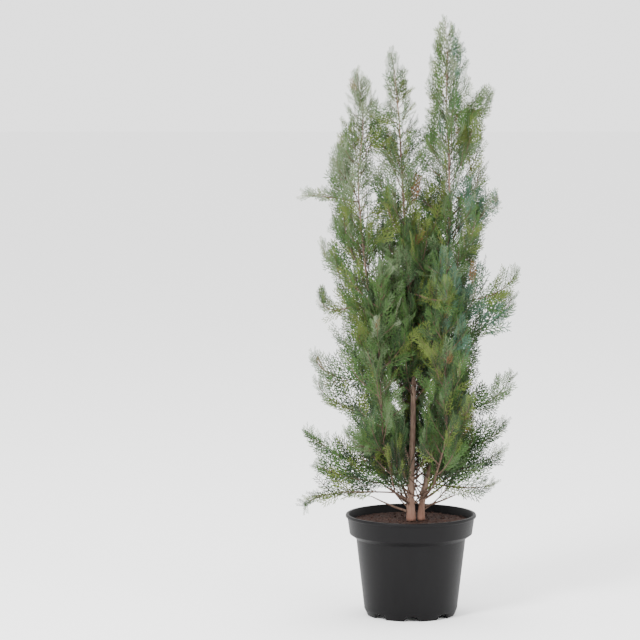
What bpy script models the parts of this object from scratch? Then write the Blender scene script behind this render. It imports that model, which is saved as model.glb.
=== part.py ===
"""A columnar Lawson cypress in a round nursery pot.

The origin is on the pot's axis, at its flat underside. +Z is up, +X is the plant's
right and -Y its front. Sizes are in metres.

The plant is a trunk with three more leaders, which rise from the soil or fork low on
the trunk. Each leader carries tiers of foliage that are cut round it, and plumes reach
out of the tiers to the furthest tips. Low boughs carry the plumes that stand clear of
the stems. Every piece keeps a small gap to the pieces that it meets.
"""

import math
import random

import bmesh
import bpy
from mathutils import Vector

# The space between pieces that meet, and the clearance that a cut leaves round a piece
GAP = 0.0003
STEM_CLEARANCE = 1.4 * GAP
MASS_CLEARANCE = 1.2 * GAP
FRONT = 270.0

# Pot: a moulded container of about seven and a half litres
POT_SEGMENTS = 32
POT_HEIGHT = 0.202
POT_WALL = 0.002
LIP_RADIUS = 0.130
LIP_HEIGHT = 0.006
LIP_INNER_RADIUS = 0.1240
BAND_TOP_RADIUS = 0.1264
BAND_FOOT_RADIUS = 0.1219
BAND_FOOT_HEIGHT = 0.1629
BODY_TOP_RADIUS = 0.1089
BODY_TOP_HEIGHT = 0.1538
BODY_FOOT_RADIUS = 0.0926
CHAMFER_HEIGHT = 0.013
BASE_RADIUS = 0.087
FOOT_RING_WIDTH = 0.0025
STAND_RADIUS = 0.038
STAND_SLOPE = 0.006
FLOOR_HEIGHT = 0.0105
NOTCH_COUNT = 8
NOTCH_HEIGHT = 0.010
NOTCH_ROOF_WIDTH = 0.017
NOTCH_MOUTH_WIDTH = 0.030
NOTCH_INNER_RADIUS = 0.078
NOTCH_OUTER_RADIUS = 0.105

# Soil: a filling of the pot, level, a little below the lip
SOIL_HEIGHT = 0.188
SOIL_EDGE_DROP = 0.0015
SOIL_EDGE_WIDTH = 0.012

# Stems: the points that each passes through, and its radius at foot and tip
STEM_SIDES = 8
STEM_RINGS = 11
STEM_TAPER = 0.85
FLARED_RING_CROWDING = 1.25
FLARE_HEIGHT = 0.022
FLARE_GROWTH = 0.22
FLARE_LOBES = 3
FLARE_LOBE_DEPTH = 0.10
STEM_FOOT = SOIL_HEIGHT + GAP
TRUNK_THROUGH = (
    (0.000, 0.000, STEM_FOOT),
    (0.000, 0.000, 0.290),
    (0.005, 0.000, 0.430),
    (0.000, 0.000, 0.600),
    (-0.014, 0.000, 0.766),
    (-0.022, 0.000, 0.940),
    (-0.034, 0.000, 1.080),
    (-0.045, 0.000, 1.118),
)
LEFT_LEADER_THROUGH = (
    (0.001, 0.000, 0.300),
    (-0.022, -0.004, 0.352),
    (-0.060, -0.010, 0.490),
    (-0.088, -0.010, 0.665),
    (-0.104, -0.004, 0.820),
    (-0.104, 0.000, 0.910),
    (-0.094, 0.000, 0.985),
    (-0.110, 0.000, 1.078),
)
RIGHT_LEADER_THROUGH = (
    (0.0195, 0.005, STEM_FOOT),
    (0.024, 0.006, 0.240),
    (0.046, 0.008, 0.320),
    (0.062, 0.010, 0.470),
    (0.074, 0.008, 0.700),
    (0.074, 0.002, 0.900),
    (0.067, 0.000, 1.010),
    (0.069, 0.000, 1.110),
    (0.065, 0.000, 1.180),
)
BACK_LEADER_THROUGH = (
    (0.003, 0.000, 0.315),
    (0.006, 0.026, 0.380),
    (0.004, 0.062, 0.520),
    (-0.006, 0.080, 0.680),
    (-0.010, 0.086, 0.765),
)

# Stems: name, points, radius at foot and tip, and whether its foot is flared
STEMS = (
    ("trunk", TRUNK_THROUGH, 0.0086, 0.0009, True),
    ("right_leader", RIGHT_LEADER_THROUGH, 0.0072, 0.0009, True),
    ("left_leader", LEFT_LEADER_THROUGH, 0.0048, 0.0008, False),
    ("back_leader", BACK_LEADER_THROUGH, 0.0042, 0.0012, False),
)

# Tiers: their resolution, how far each reaches into the next, and how long the ends
# are that draw in, as shares of a tier
TIER_SIDES = 9
TIER_RINGS = 6
TIER_LAP = 0.025
TIER_FOOT_END = 0.22
TIER_TIP_END = 0.30
TIER_END_SHARE = 0.06
# Each leader's foliage: the heights between its tiers, and per tier the centre's step
# from the stem to the right and back, with the half width and the half depth
LEFT_TIER_HEIGHTS = (0.262, 0.460, 0.640, 0.800, 0.950, 1.084)
LEFT_TIERS = (
    (-0.052, 0.004, 0.052, 0.058),
    (-0.022, 0.006, 0.062, 0.060),
    (-0.008, 0.004, 0.054, 0.050),
    (-0.016, 0.000, 0.038, 0.040),
    (0.002, 0.000, 0.034, 0.030),
)
TRUNK_TIER_HEIGHTS = (0.440, 0.620, 0.790, 0.960, 1.124)
TRUNK_TIERS = (
    (0.000, 0.000, 0.056, 0.054),
    (0.004, 0.000, 0.054, 0.050),
    (-0.006, 0.000, 0.038, 0.036),
    (0.002, 0.000, 0.026, 0.024),
)
RIGHT_TIER_HEIGHTS = (0.262, 0.470, 0.670, 0.850, 1.010, 1.184)
RIGHT_TIERS = (
    (0.032, 0.000, 0.054, 0.060),
    (0.024, 0.002, 0.064, 0.062),
    (0.016, 0.002, 0.064, 0.058),
    (0.012, 0.000, 0.057, 0.050),
    (0.004, 0.000, 0.040, 0.036),
)
BACK_TIER_HEIGHTS = (0.262, 0.430, 0.600, 0.775)
BACK_TIERS = (
    (0.002, 0.056, 0.072, 0.050),
    (0.000, 0.034, 0.078, 0.052),
    (0.000, 0.012, 0.062, 0.046),
)
FRONT_LEFT_THROUGH = ((-0.046, -0.072, 0.250), (-0.056, -0.080, 0.500), (-0.050, -0.060, 0.730))
FRONT_LEFT_HEIGHTS = (0.252, 0.460, 0.720)
FRONT_LEFT_TIERS = ((-0.010, 0.000, 0.048, 0.046), (-0.004, 0.004, 0.052, 0.046))
FRONT_RIGHT_THROUGH = ((0.054, -0.070, 0.250), (0.062, -0.082, 0.500), (0.052, -0.058, 0.760))
FRONT_RIGHT_HEIGHTS = (0.262, 0.470, 0.750)
FRONT_RIGHT_TIERS = ((0.008, 0.000, 0.048, 0.046), (0.004, 0.004, 0.056, 0.048))

# Plumes: name, stem, direction, tip height, tip's distance from the pot's axis, climb
# from stem to tip, bare share of the way, half width, and bow, up or down, as a share
# of the length
PLUME_SIDES = 8
PLUME_RINGS = 4
PLUME_FLATNESS = 0.72
LOWEST_PLUME_ROOT = STEM_FOOT + 0.02
PLUMES = (
    ("plume_left_1", "left_leader", 180, 0.836, 0.214, 0.066, 0.12, 0.022, 0.26),
    ("plume_left_2", "left_leader", 176, 0.745, 0.176, 0.100, 0.12, 0.028, -0.10),
    ("plume_left_3", "left_leader", 187, 0.652, 0.178, 0.120, 0.20, 0.032, -0.10),
    ("plume_left_4", "left_leader", 177, 0.525, 0.197, 0.115, 0.12, 0.032, -0.10),
    ("plume_left_5", "trunk", 186, 0.474, 0.186, 0.140, 0.20, 0.034, -0.10),
    ("plume_left_6", "trunk", 178, 0.374, 0.214, 0.112, 0.20, 0.036, -0.10),
    ("plume_left_7", "trunk", 186, 0.306, 0.196, 0.070, 0.30, 0.036, -0.10),
    ("plume_left_8", "trunk", 183, 0.214, 0.213, -0.077, 0.47, 0.020, 0.10),
    ("plume_right_1", "right_leader", 0, 1.050, 0.152, 0.100, 0.12, 0.026, -0.10),
    ("plume_right_2", "right_leader", 3, 0.850, 0.162, 0.110, 0.20, 0.030, -0.10),
    ("plume_right_3", "right_leader", -4, 0.696, 0.210, 0.105, 0.12, 0.034, -0.10),
    ("plume_right_4", "right_leader", 4, 0.640, 0.200, 0.120, 0.12, 0.034, -0.10),
    ("plume_right_5", "right_leader", -3, 0.490, 0.203, 0.130, 0.12, 0.038, -0.10),
    ("plume_right_6", "right_leader", 4, 0.390, 0.192, 0.090, 0.12, 0.036, -0.10),
    ("plume_right_7", "right_leader", -5, 0.336, 0.184, 0.070, 0.30, 0.032, -0.10),
    ("plume_right_8", "right_leader", 2, 0.262, 0.166, 0.014, 0.34, 0.022, -0.06),
    ("plume_back_1", "back_leader", 68, 0.700, 0.170, 0.110, 0.12, 0.036, -0.10),
    ("plume_back_2", "back_leader", 118, 0.610, 0.182, 0.125, 0.12, 0.042, -0.10),
    ("plume_back_3", "back_leader", 60, 0.500, 0.188, 0.130, 0.12, 0.044, -0.10),
    ("plume_back_4", "trunk", 132, 0.400, 0.186, 0.130, 0.20, 0.044, -0.10),
    ("plume_back_5", "right_leader", 52, 0.345, 0.180, 0.100, 0.30, 0.040, -0.10),
    ("plume_front_1", "right_leader", 288, 0.690, 0.176, 0.100, 0.30, 0.036, -0.10),
    ("plume_front_2", "left_leader", 247, 0.610, 0.178, 0.100, 0.30, 0.036, -0.10),
    ("plume_front_3", "right_leader", 306, 0.450, 0.186, 0.100, 0.30, 0.042, -0.10),
    ("plume_front_4", "trunk", 226, 0.390, 0.184, 0.100, 0.36, 0.042, -0.10),
)

# Boughs: name, stem, height on it, direction, run, rise, foot radius
BOUGH_SIDES = 6
BOUGH_RINGS = 5
BOUGH_CURVE = 1.2
BOUGH_TIP_SHARE = 0.55
BOUGHS = (
    ("bough_low_left", "trunk", 0.204, 186, 0.120, 0.056, 0.0030),
    ("bough_left", "trunk", 0.226, 168, 0.090, 0.058, 0.0032),
    ("bough_low_right", "right_leader", 0.214, 356, 0.090, 0.036, 0.0028),
    ("bough_right", "right_leader", 0.228, 10, 0.080, 0.060, 0.0030),
    ("bough_back_left", "trunk", 0.218, 112, 0.100, 0.090, 0.0032),
    ("bough_back_right", "right_leader", 0.224, 62, 0.090, 0.070, 0.0030),
    ("bough_front_left", "trunk", 0.220, 234, 0.100, 0.064, 0.0032),
    ("bough_front_right", "right_leader", 0.232, 292, 0.090, 0.058, 0.0030),
)

# Colours of the pieces, as linear values
POT_BLACK = (0.012, 0.012, 0.013, 1.0)
SOIL_BROWN = (0.020, 0.009, 0.006, 1.0)
BARK_TAN = (0.170, 0.110, 0.075, 1.0)
TWIG_GREY = (0.130, 0.105, 0.080, 1.0)
FOLIAGE_GREENS = (
    (0.060, 0.105, 0.035, 1.0),
    (0.045, 0.085, 0.040, 1.0),
    (0.090, 0.125, 0.045, 1.0),
    (0.035, 0.070, 0.045, 1.0),
)


def clear_scene():
    """Empty the file's scene."""
    for obj in list(bpy.data.objects):
        bpy.data.objects.remove(obj, do_unlink=True)


def make_material(name, color, roughness):
    """A plain non-metal surface."""
    material = bpy.data.materials.new(name)
    material.use_nodes = True
    shader = material.node_tree.nodes["Principled BSDF"]
    shader.inputs["Base Color"].default_value = color
    shader.inputs["Roughness"].default_value = roughness
    shader.inputs["Metallic"].default_value = 0.0
    return material


def add_object(name, mesh, material, smooth_angle=None):
    """Link a mesh to the scene under its own name."""
    obj = bpy.data.objects.new(name, mesh)
    bpy.context.scene.collection.objects.link(obj)
    mesh.materials.clear()
    if material:
        mesh.materials.append(material)
    if smooth_angle is not None:
        mesh.shade_smooth()
        mesh.set_sharp_from_angle(angle=math.radians(smooth_angle))
    return obj


def mark_as_cutter(obj):
    """Keep a helper out of the finished model."""
    obj.hide_render = True
    obj.display_type = "WIRE"


def loft(name, rings, foot_pole=None, tip_pole=None):
    """A closed mesh through rings of equal count, with a pole or a flat cap at each end.

    Its faces are triangles, so that a cut never meets a warped face.
    """
    bm = bmesh.new()
    loops = [[bm.verts.new(point) for point in ring] for ring in rings]
    for low, high in zip(loops, loops[1:]):
        for i in range(len(low)):
            j = (i + 1) % len(low)
            bm.faces.new((low[i], low[j], high[j], high[i]))
    for loop, pole in ((loops[0], foot_pole), (loops[-1], tip_pole)):
        if pole is None:
            bm.faces.new(loop)
            continue
        apex = bm.verts.new(pole)
        for i in range(len(loop)):
            bm.faces.new((loop[i], loop[(i + 1) % len(loop)], apex))
    bmesh.ops.triangulate(bm, faces=bm.faces)
    bmesh.ops.recalc_face_normals(bm, faces=bm.faces)
    mesh = bpy.data.meshes.new(name)
    bm.to_mesh(mesh)
    bm.free()
    return mesh


def turned_mesh(name, profile, segments):
    """A solid of revolution about Z, whose profile starts and ends on the axis."""
    rings = [
        [
            Vector((r * math.cos(a), r * math.sin(a), z))
            for a in (2 * math.pi * i / segments for i in range(segments))
        ]
        for r, z in profile[1:-1]
    ]
    first, last = profile[0], profile[-1]
    return loft(name, rings, Vector((0, 0, first[1])), Vector((0, 0, last[1])))


def is_closed(bm):
    """Whether every edge joins exactly two faces."""
    return all(len(edge.link_faces) == 2 for edge in bm.edges)


def closed_volume(mesh):
    """A mesh's volume, or minus one where it isn't closed."""
    bm = bmesh.new()
    bm.from_mesh(mesh)
    volume = bm.calc_volume(signed=True) if is_closed(bm) else -1.0
    bm.free()
    return volume


def cut(target, cutter):
    """Subtract a cutter from a target, and keep the result as the target's mesh.

    The exact solver is tried first. Where its result is open or has grown, the
    manifold solver makes the cut.
    """
    before = closed_volume(target.data)
    for solver in ("EXACT", "MANIFOLD"):
        modifier = target.modifiers.new("cut", "BOOLEAN")
        modifier.operation = "DIFFERENCE"
        modifier.solver = solver
        modifier.object = cutter
        bpy.context.view_layer.update()
        evaluated = target.evaluated_get(bpy.context.evaluated_depsgraph_get())
        mesh = bpy.data.meshes.new_from_object(evaluated)
        target.modifiers.remove(modifier)
        if 0 < closed_volume(mesh) <= before * 1.0001:
            break
    old = target.data
    target.data = mesh
    mesh.name = target.name
    bpy.data.meshes.remove(old)


def islands(bm):
    """The separate shells of a mesh, each as a set of vertices."""
    left = set(bm.verts)
    found = []
    while left:
        stack = [left.pop()]
        shell = set(stack)
        while stack:
            for edge in stack.pop().link_edges:
                for vertex in edge.verts:
                    if vertex in left:
                        left.remove(vertex)
                        shell.add(vertex)
                        stack.append(vertex)
        found.append(shell)
    return found


def keep_one_shell(obj, near=None):
    """Drop crumbs that a cut left: keep the shell nearest a point, or else the largest."""

    def rank(shell):
        if near is not None:
            return min((v.co - near).length for v in shell)
        low = Vector([min(v.co[k] for v in shell) for k in range(3)])
        high = Vector([max(v.co[k] for v in shell) for k in range(3)])
        return -(high - low).length

    for weld, flatten in ((0.0001, 0.6), (0.00002, 0.2), (0.00002, 0.0), (0.0, 0.0)):
        bm = bmesh.new()
        bm.from_mesh(obj.data)
        if weld:
            bmesh.ops.remove_doubles(bm, verts=bm.verts, dist=weld)
        if flatten:
            bmesh.ops.dissolve_limit(
                bm, angle_limit=math.radians(flatten), verts=bm.verts, edges=bm.edges
            )
        shells = sorted(islands(bm), key=rank)
        for shell in shells[1:]:
            bmesh.ops.delete(bm, geom=list(shell), context="VERTS")
        bmesh.ops.triangulate(bm, faces=bm.faces)
        if is_closed(bm):
            break
    bm.to_mesh(obj.data)
    bm.free()


def boxes_meet(a, b):
    """Whether two objects' boxes overlap."""
    lows, highs = [], []
    for obj in (a, b):
        points = [v.co for v in obj.data.vertices]
        lows.append([min(p[k] for p in points) for k in range(3)])
        highs.append([max(p[k] for p in points) for k in range(3)])
    return all(lows[0][k] <= highs[1][k] and lows[1][k] <= highs[0][k] for k in range(3))


class Path:
    """A smooth curve through points, read by a share from 0 to 1 or by height."""

    def __init__(self, points):
        self.points = [Vector(p) for p in points]

    def at(self, share):
        """The curve's point at a share of its spans."""
        spans = len(self.points) - 1
        place = min(max(share, 0.0), 1.0) * spans
        i = min(int(place), spans - 1)
        t = place - i
        p1, p2 = self.points[i], self.points[i + 1]
        p0 = self.points[i - 1] if i else p1 - (p2 - p1)
        p3 = self.points[i + 2] if i + 2 <= spans else p2 + (p2 - p1)
        return 0.5 * (
            2 * p1
            + (p2 - p0) * t
            + (2 * p0 - 5 * p1 + 4 * p2 - p3) * t * t
            + (3 * p1 - p0 - 3 * p2 + p3) * t**3
        )

    def share_at_height(self, height):
        """The share at which the curve, which climbs all the way, is at a height."""
        low, high = 0.0, 1.0
        for _ in range(40):
            middle = (low + high) / 2
            if self.at(middle).z < height:
                low = middle
            else:
                high = middle
        return (low + high) / 2

    def at_height(self, height):
        """The curve's point at a height."""
        return self.at(self.share_at_height(height))


def stem_radius(foot_radius, tip_radius, share, height_above_foot, flare):
    """A stem's radius: an even taper, with a root flare where it stands in the soil."""
    radius = foot_radius + (tip_radius - foot_radius) * share**STEM_TAPER
    if flare:
        radius *= 1 + FLARE_GROWTH * math.exp(-3 * height_above_foot / FLARE_HEIGHT)
    return radius


def flare_lobe(angle, height_above_foot, flare):
    """How far the flare swells into root buttresses round the foot."""
    if not flare:
        return 1.0
    fading = math.exp(-2 * height_above_foot / FLARE_HEIGHT)
    return 1 + FLARE_LOBE_DEPTH * math.sin(FLARE_LOBES * angle + 0.6) * fading


def stem_mesh(name, path, foot_radius, tip_radius, flare, grow=0.0):
    """A tapering stem of level rings along its path, with a flat foot and a blunt tip."""
    rings = []
    foot = path.at(0.0)
    for k in range(STEM_RINGS):
        share = (k / (STEM_RINGS - 1)) ** (FLARED_RING_CROWDING if flare else 1.0)
        centre = path.at(share)
        above = centre.z - foot.z
        radius = stem_radius(foot_radius, tip_radius, share, above, flare)
        rings.append(
            [
                centre
                + Vector((math.cos(a), math.sin(a), 0))
                * (radius * flare_lobe(a, above, flare) + grow)
                for a in (2 * math.pi * i / STEM_SIDES for i in range(STEM_SIDES))
            ]
        )
    if grow:
        rings[0] = [p - Vector((0, 0, grow)) for p in rings[0]]
        rings[-1] = [p + Vector((0, 0, grow)) for p in rings[-1]]
    return loft(name, rings)


class Lumps:
    """A smooth, seeded unevenness over a mass, round it and along it."""

    def __init__(self, name):
        rng = random.Random(name)
        self.turn = rng.uniform(0.1, 0.5)
        self.waves = [
            (count, strength, rng.uniform(0, 2 * math.pi), rng.uniform(2.0, 5.0))
            for count, strength in ((1, 0.07), (2, 0.11), (3, 0.09), (4, 0.06))
        ]

    def at(self, angle, share):
        """The factor on the radius."""
        return 1 + sum(
            strength * math.sin(count * angle + phase + turn * share)
            for count, strength, phase, turn in self.waves
        )


def tier_mesh(name, path, low, high, step, half_width, half_depth, pointed, grow=0.0):
    """A mass of foliage round a stretch of stem, uneven, and drawn in at both ends."""
    lumps = Lumps(name)
    rings = []
    for k in range(TIER_RINGS):
        share = (k + 0.5) / TIER_RINGS
        height = low + (high - low) * share
        centre = path.at_height(height) + Vector((step[0], step[1], 0))
        centre.z = height
        foot_end = min(1.0, (share + TIER_END_SHARE) / TIER_FOOT_END) ** 0.5
        if pointed:
            tip_end = 1.12 * (1 - share) ** 0.5
        else:
            tip_end = min(1.0, (1 - share + TIER_END_SHARE) / TIER_TIP_END) ** 0.6
        shape = min(foot_end, tip_end, 1.0)
        ring = []
        for i in range(TIER_SIDES):
            angle = lumps.turn + 2 * math.pi * i / TIER_SIDES
            swell = shape * lumps.at(angle, share)
            ring.append(
                centre
                + Vector(
                    (
                        math.cos(angle) * (half_width * swell + grow),
                        math.sin(angle) * (half_depth * swell + grow),
                        0,
                    )
                )
            )
        rings.append(ring)
    offset = Vector((step[0], step[1], 0))
    foot = path.at_height(low) + offset
    foot.z = low - grow
    tip = path.at_height(high) + (Vector() if pointed else offset)
    tip.z = high + grow
    return loft(name, rings, foot, tip)


def plume_mesh(name, root, tip, half_width, bow, grow=0.0):
    """A flat, uneven plume that runs from its root in a bow to its tip."""
    lumps = Lumps(name)
    out = tip - root
    side = Vector((0, 0, 1)).cross(out).normalized()
    over = out.cross(side).normalized()
    rings = []
    for k in range(PLUME_RINGS):
        share = (k + 0.5) / PLUME_RINGS
        centre = root + out * share + over * (bow * out.length * math.sin(math.pi * share))
        shape = min(1.0, share / 0.2) ** 0.5 * min(1.0, 1.35 * (1 - share) ** 0.7)
        ring = []
        for i in range(PLUME_SIDES):
            angle = lumps.turn + 2 * math.pi * i / PLUME_SIDES
            swell = shape * half_width * lumps.at(angle, share)
            ring.append(
                centre
                + over * (math.sin(angle) * (swell + grow))
                + side * (math.cos(angle) * (swell * PLUME_FLATNESS + grow))
            )
        rings.append(ring)
    along = out.normalized() * grow
    return loft(name, rings, root - along, tip + along)


def bough_mesh(name, root, direction, run, rise, foot_radius, grow=0.0):
    """A bough that leaves its stem, dips a little and climbs, tapering all the way."""
    heading = Vector((math.cos(direction), math.sin(direction), 0))
    side = Vector((-math.sin(direction), math.cos(direction), 0))
    rings = []
    for k in range(BOUGH_RINGS):
        share = k / (BOUGH_RINGS - 1)
        centre = root + heading * (run * share)
        centre.z += rise * share**BOUGH_CURVE
        slope = Vector((heading.x * run, heading.y * run, rise)).normalized()
        over = slope.cross(side).normalized()
        radius = foot_radius * (1 - (1 - BOUGH_TIP_SHARE) * share) + grow
        rings.append(
            [
                centre + side * (math.cos(a) * radius) + over * (math.sin(a) * radius)
                for a in (2 * math.pi * i / BOUGH_SIDES for i in range(BOUGH_SIDES))
            ]
        )
    return loft(name, rings)


def build_pot():
    """The pot: a banded, rolled-lip container on a notched foot ring."""
    floor_top = FLOOR_HEIGHT + POT_WALL
    stand_edge = STAND_RADIUS + STAND_SLOPE
    lip_foot = POT_HEIGHT - LIP_HEIGHT
    lip_middle = POT_HEIGHT - LIP_HEIGHT / 2
    profile = (
        (0.0, 0.0),
        (STAND_RADIUS, 0.0),
        (stand_edge, FLOOR_HEIGHT),
        (BASE_RADIUS - FOOT_RING_WIDTH, FLOOR_HEIGHT),
        (BASE_RADIUS - FOOT_RING_WIDTH, 0.0),
        (BASE_RADIUS, 0.0),
        (BODY_FOOT_RADIUS, CHAMFER_HEIGHT),
        (BODY_TOP_RADIUS, BODY_TOP_HEIGHT),
        (BAND_FOOT_RADIUS, BAND_FOOT_HEIGHT),
        (BAND_TOP_RADIUS, lip_foot),
        (LIP_RADIUS - POT_WALL / 2, lip_foot),
        (LIP_RADIUS, lip_middle),
        (LIP_RADIUS - POT_WALL / 2, POT_HEIGHT),
        (LIP_INNER_RADIUS, POT_HEIGHT),
        (BAND_FOOT_RADIUS - POT_WALL, BAND_FOOT_HEIGHT + POT_WALL),
        (BODY_TOP_RADIUS - POT_WALL, BODY_TOP_HEIGHT + POT_WALL),
        (BODY_FOOT_RADIUS - POT_WALL, floor_top + POT_WALL),
        (BODY_FOOT_RADIUS - 2 * POT_WALL, floor_top),
        (stand_edge, floor_top),
        (STAND_RADIUS, POT_WALL),
        (0.0, POT_WALL),
    )
    mesh = turned_mesh("pot", profile, POT_SEGMENTS)
    material = make_material("pot black", POT_BLACK, 0.45)
    pot = add_object("pot", mesh, material, smooth_angle=30)
    for k in range(NOTCH_COUNT):
        angle = math.radians(FRONT) + 2 * math.pi * k / NOTCH_COUNT
        notch = notch_cutter(angle)
        cut(pot, notch)
        bpy.data.objects.remove(notch)
    return pot


def notch_cutter(angle):
    """The trapezoid that opens one drainage notch in the foot ring."""
    out = Vector((math.cos(angle), math.sin(angle), 0))
    side = Vector((-out.y, out.x, 0))
    below = 0.002
    rings = []
    for radius in (NOTCH_INNER_RADIUS, NOTCH_OUTER_RADIUS):
        rings.append(
            [
                out * radius + side * (share * width / 2) + Vector((0, 0, z))
                for share, width, z in (
                    (-1, NOTCH_MOUTH_WIDTH, -below),
                    (1, NOTCH_MOUTH_WIDTH, -below),
                    (1, NOTCH_ROOF_WIDTH, NOTCH_HEIGHT),
                    (-1, NOTCH_ROOF_WIDTH, NOTCH_HEIGHT),
                )
            ]
        )
    notch = add_object("notch cutter", loft("notch cutter", rings), None)
    mark_as_cutter(notch)
    return notch


def build_soil():
    """The soil that fills the pot to just below its lip."""
    inset = POT_WALL + GAP * 1.5
    floor_top = FLOOR_HEIGHT + POT_WALL + GAP
    band_slope = (BAND_TOP_RADIUS - BAND_FOOT_RADIUS) / (POT_HEIGHT - LIP_HEIGHT - BAND_FOOT_HEIGHT)
    top_radius = BAND_FOOT_RADIUS - inset + band_slope * (SOIL_HEIGHT - BAND_FOOT_HEIGHT) * 0.9
    profile = (
        (0.0, POT_WALL + GAP),
        (STAND_RADIUS - GAP, POT_WALL + GAP),
        (STAND_RADIUS + STAND_SLOPE - GAP, floor_top),
        (BODY_FOOT_RADIUS - 2 * POT_WALL - GAP, floor_top),
        (BODY_FOOT_RADIUS - inset, floor_top + POT_WALL),
        (BODY_TOP_RADIUS - inset, BODY_TOP_HEIGHT + POT_WALL + GAP),
        (BAND_FOOT_RADIUS - inset, BAND_FOOT_HEIGHT + POT_WALL + GAP),
        (top_radius - GAP, SOIL_HEIGHT - SOIL_EDGE_DROP),
        (top_radius - SOIL_EDGE_WIDTH, SOIL_HEIGHT),
        (0.0, SOIL_HEIGHT),
    )
    mesh = turned_mesh("soil", profile, POT_SEGMENTS)
    return add_object("soil", mesh, make_material("soil brown", SOIL_BROWN, 0.95), smooth_angle=30)


def build_stems():
    """The trunk and the leaders, with a grown cutter and the path of each."""
    bark = make_material("bark", BARK_TAN, 0.85)
    stems = {}
    for name, through, foot_radius, tip_radius, flare in STEMS:
        path = Path(through)
        stem = add_object(
            name, stem_mesh(name, path, foot_radius, tip_radius, flare), bark, smooth_angle=50
        )
        cutter = add_object(
            name + " clearance",
            stem_mesh(name, path, foot_radius, tip_radius, flare, grow=STEM_CLEARANCE),
            None,
        )
        mark_as_cutter(cutter)
        for earlier in stems.values():
            if boxes_meet(stem, earlier["cutter"]):
                cut(stem, earlier["cutter"])
        keep_one_shell(stem)
        stems[name] = {"object": stem, "cutter": cutter, "path": path}
    return stems


def tier_sets(stems):
    """Every column of tiers: its name, path, heights and tiers."""
    return (
        ("left", stems["left_leader"]["path"], LEFT_TIER_HEIGHTS, LEFT_TIERS),
        ("middle", stems["trunk"]["path"], TRUNK_TIER_HEIGHTS, TRUNK_TIERS),
        ("right", stems["right_leader"]["path"], RIGHT_TIER_HEIGHTS, RIGHT_TIERS),
        ("back", stems["back_leader"]["path"], BACK_TIER_HEIGHTS, BACK_TIERS),
        ("front_left", Path(FRONT_LEFT_THROUGH), FRONT_LEFT_HEIGHTS, FRONT_LEFT_TIERS),
        ("front_right", Path(FRONT_RIGHT_THROUGH), FRONT_RIGHT_HEIGHTS, FRONT_RIGHT_TIERS),
    )


def mass_shapes(stems):
    """Every mass in the order of cutting: its name and a function of the extra growth."""
    shapes = []
    for column, path, heights, tiers in tier_sets(stems):
        for k, (right, back, half_width, half_depth) in enumerate(tiers):
            name = f"foliage_{column}_{k + 1}"
            low = heights[k] - (TIER_LAP if k else 0)
            high = heights[k + 1] + (TIER_LAP if k + 1 < len(tiers) else 0)
            pointed = k + 1 == len(tiers)
            sizes = (name, path, low, high, (right, back), half_width, half_depth, pointed)
            shapes.append((name, lambda grow, sizes=sizes: tier_mesh(*sizes, grow=grow)))
    for name, stem, direction, height, reach, climb, bare, half_width, bow in PLUMES:
        heading = math.radians(direction)
        tip = Vector((reach * math.cos(heading), reach * math.sin(heading), height))
        path = stems[stem]["path"]
        root = path.at_height(max(height - climb, LOWEST_PLUME_ROOT))
        root.z = height - climb
        root += (tip - root) * bare
        sizes = (name, root, tip, half_width, bow)
        shapes.append((name, lambda grow, sizes=sizes: plume_mesh(*sizes, grow=grow)))
    return shapes


def build_masses(stems):
    """The foliage: each mass cut round the stems and round the masses before it."""
    greens = [
        make_material(f"foliage green {k + 1}", color, 0.7)
        for k, color in enumerate(FOLIAGE_GREENS)
    ]
    clearances = [stem["cutter"] for stem in stems.values()]
    for k, (name, shape) in enumerate(mass_shapes(stems)):
        mass = add_object(name, shape(0.0), greens[k % len(greens)])
        grown = add_object(name + " clearance", shape(MASS_CLEARANCE), None)
        mark_as_cutter(grown)
        for cutter in clearances:
            if boxes_meet(mass, cutter):
                cut(mass, cutter)
        keep_one_shell(mass)
        mass.data.materials.clear()
        mass.data.materials.append(greens[k % len(greens)])
        clearances.append(grown)
    return clearances[len(stems) :]


def build_boughs(stems, mass_cutters):
    """The low boughs, each from its stem to the mass that it enters."""
    bark = make_material("twig bark", TWIG_GREY, 0.85)
    earlier = []
    for name, stem, height, direction, run, rise, foot_radius in BOUGHS:
        root = stems[stem]["path"].at_height(height)
        sizes = (name, root, math.radians(direction), run, rise, foot_radius)
        bough = add_object(name, bough_mesh(*sizes), bark)
        grown = add_object(name + " clearance", bough_mesh(*sizes, grow=MASS_CLEARANCE), None)
        mark_as_cutter(grown)
        cutters = [s["cutter"] for s in stems.values()] + mass_cutters + earlier
        for cutter in cutters:
            if boxes_meet(bough, cutter):
                cut(bough, cutter)
        keep_one_shell(bough, near=root)
        bough.data.materials.clear()
        bough.data.materials.append(bark)
        earlier.append(grown)


def main():
    """Build the plant in its pot."""
    clear_scene()
    build_pot()
    build_soil()
    stems = build_stems()
    mass_cutters = build_masses(stems)
    build_boughs(stems, mass_cutters)


main()
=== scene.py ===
"""The finished look of a columnar Lawson cypress in its round nursery pot.

The plant's stems and boughs get a bark with relief. Side branches grow from them by a
seeded rule, out to where the model's masses of foliage end, and carry flat sprays of
scale leaves. Everything is in metres, with +Z up and the plant's front towards -Y.
"""

import logging
import math
import random
from collections.abc import Callable
from dataclasses import dataclass, field
from enum import Enum

import bpy
import numpy as np
from mathutils import Euler, Matrix, Quaternion, Vector, noise
from mathutils.bvhtree import BVHTree


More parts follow.
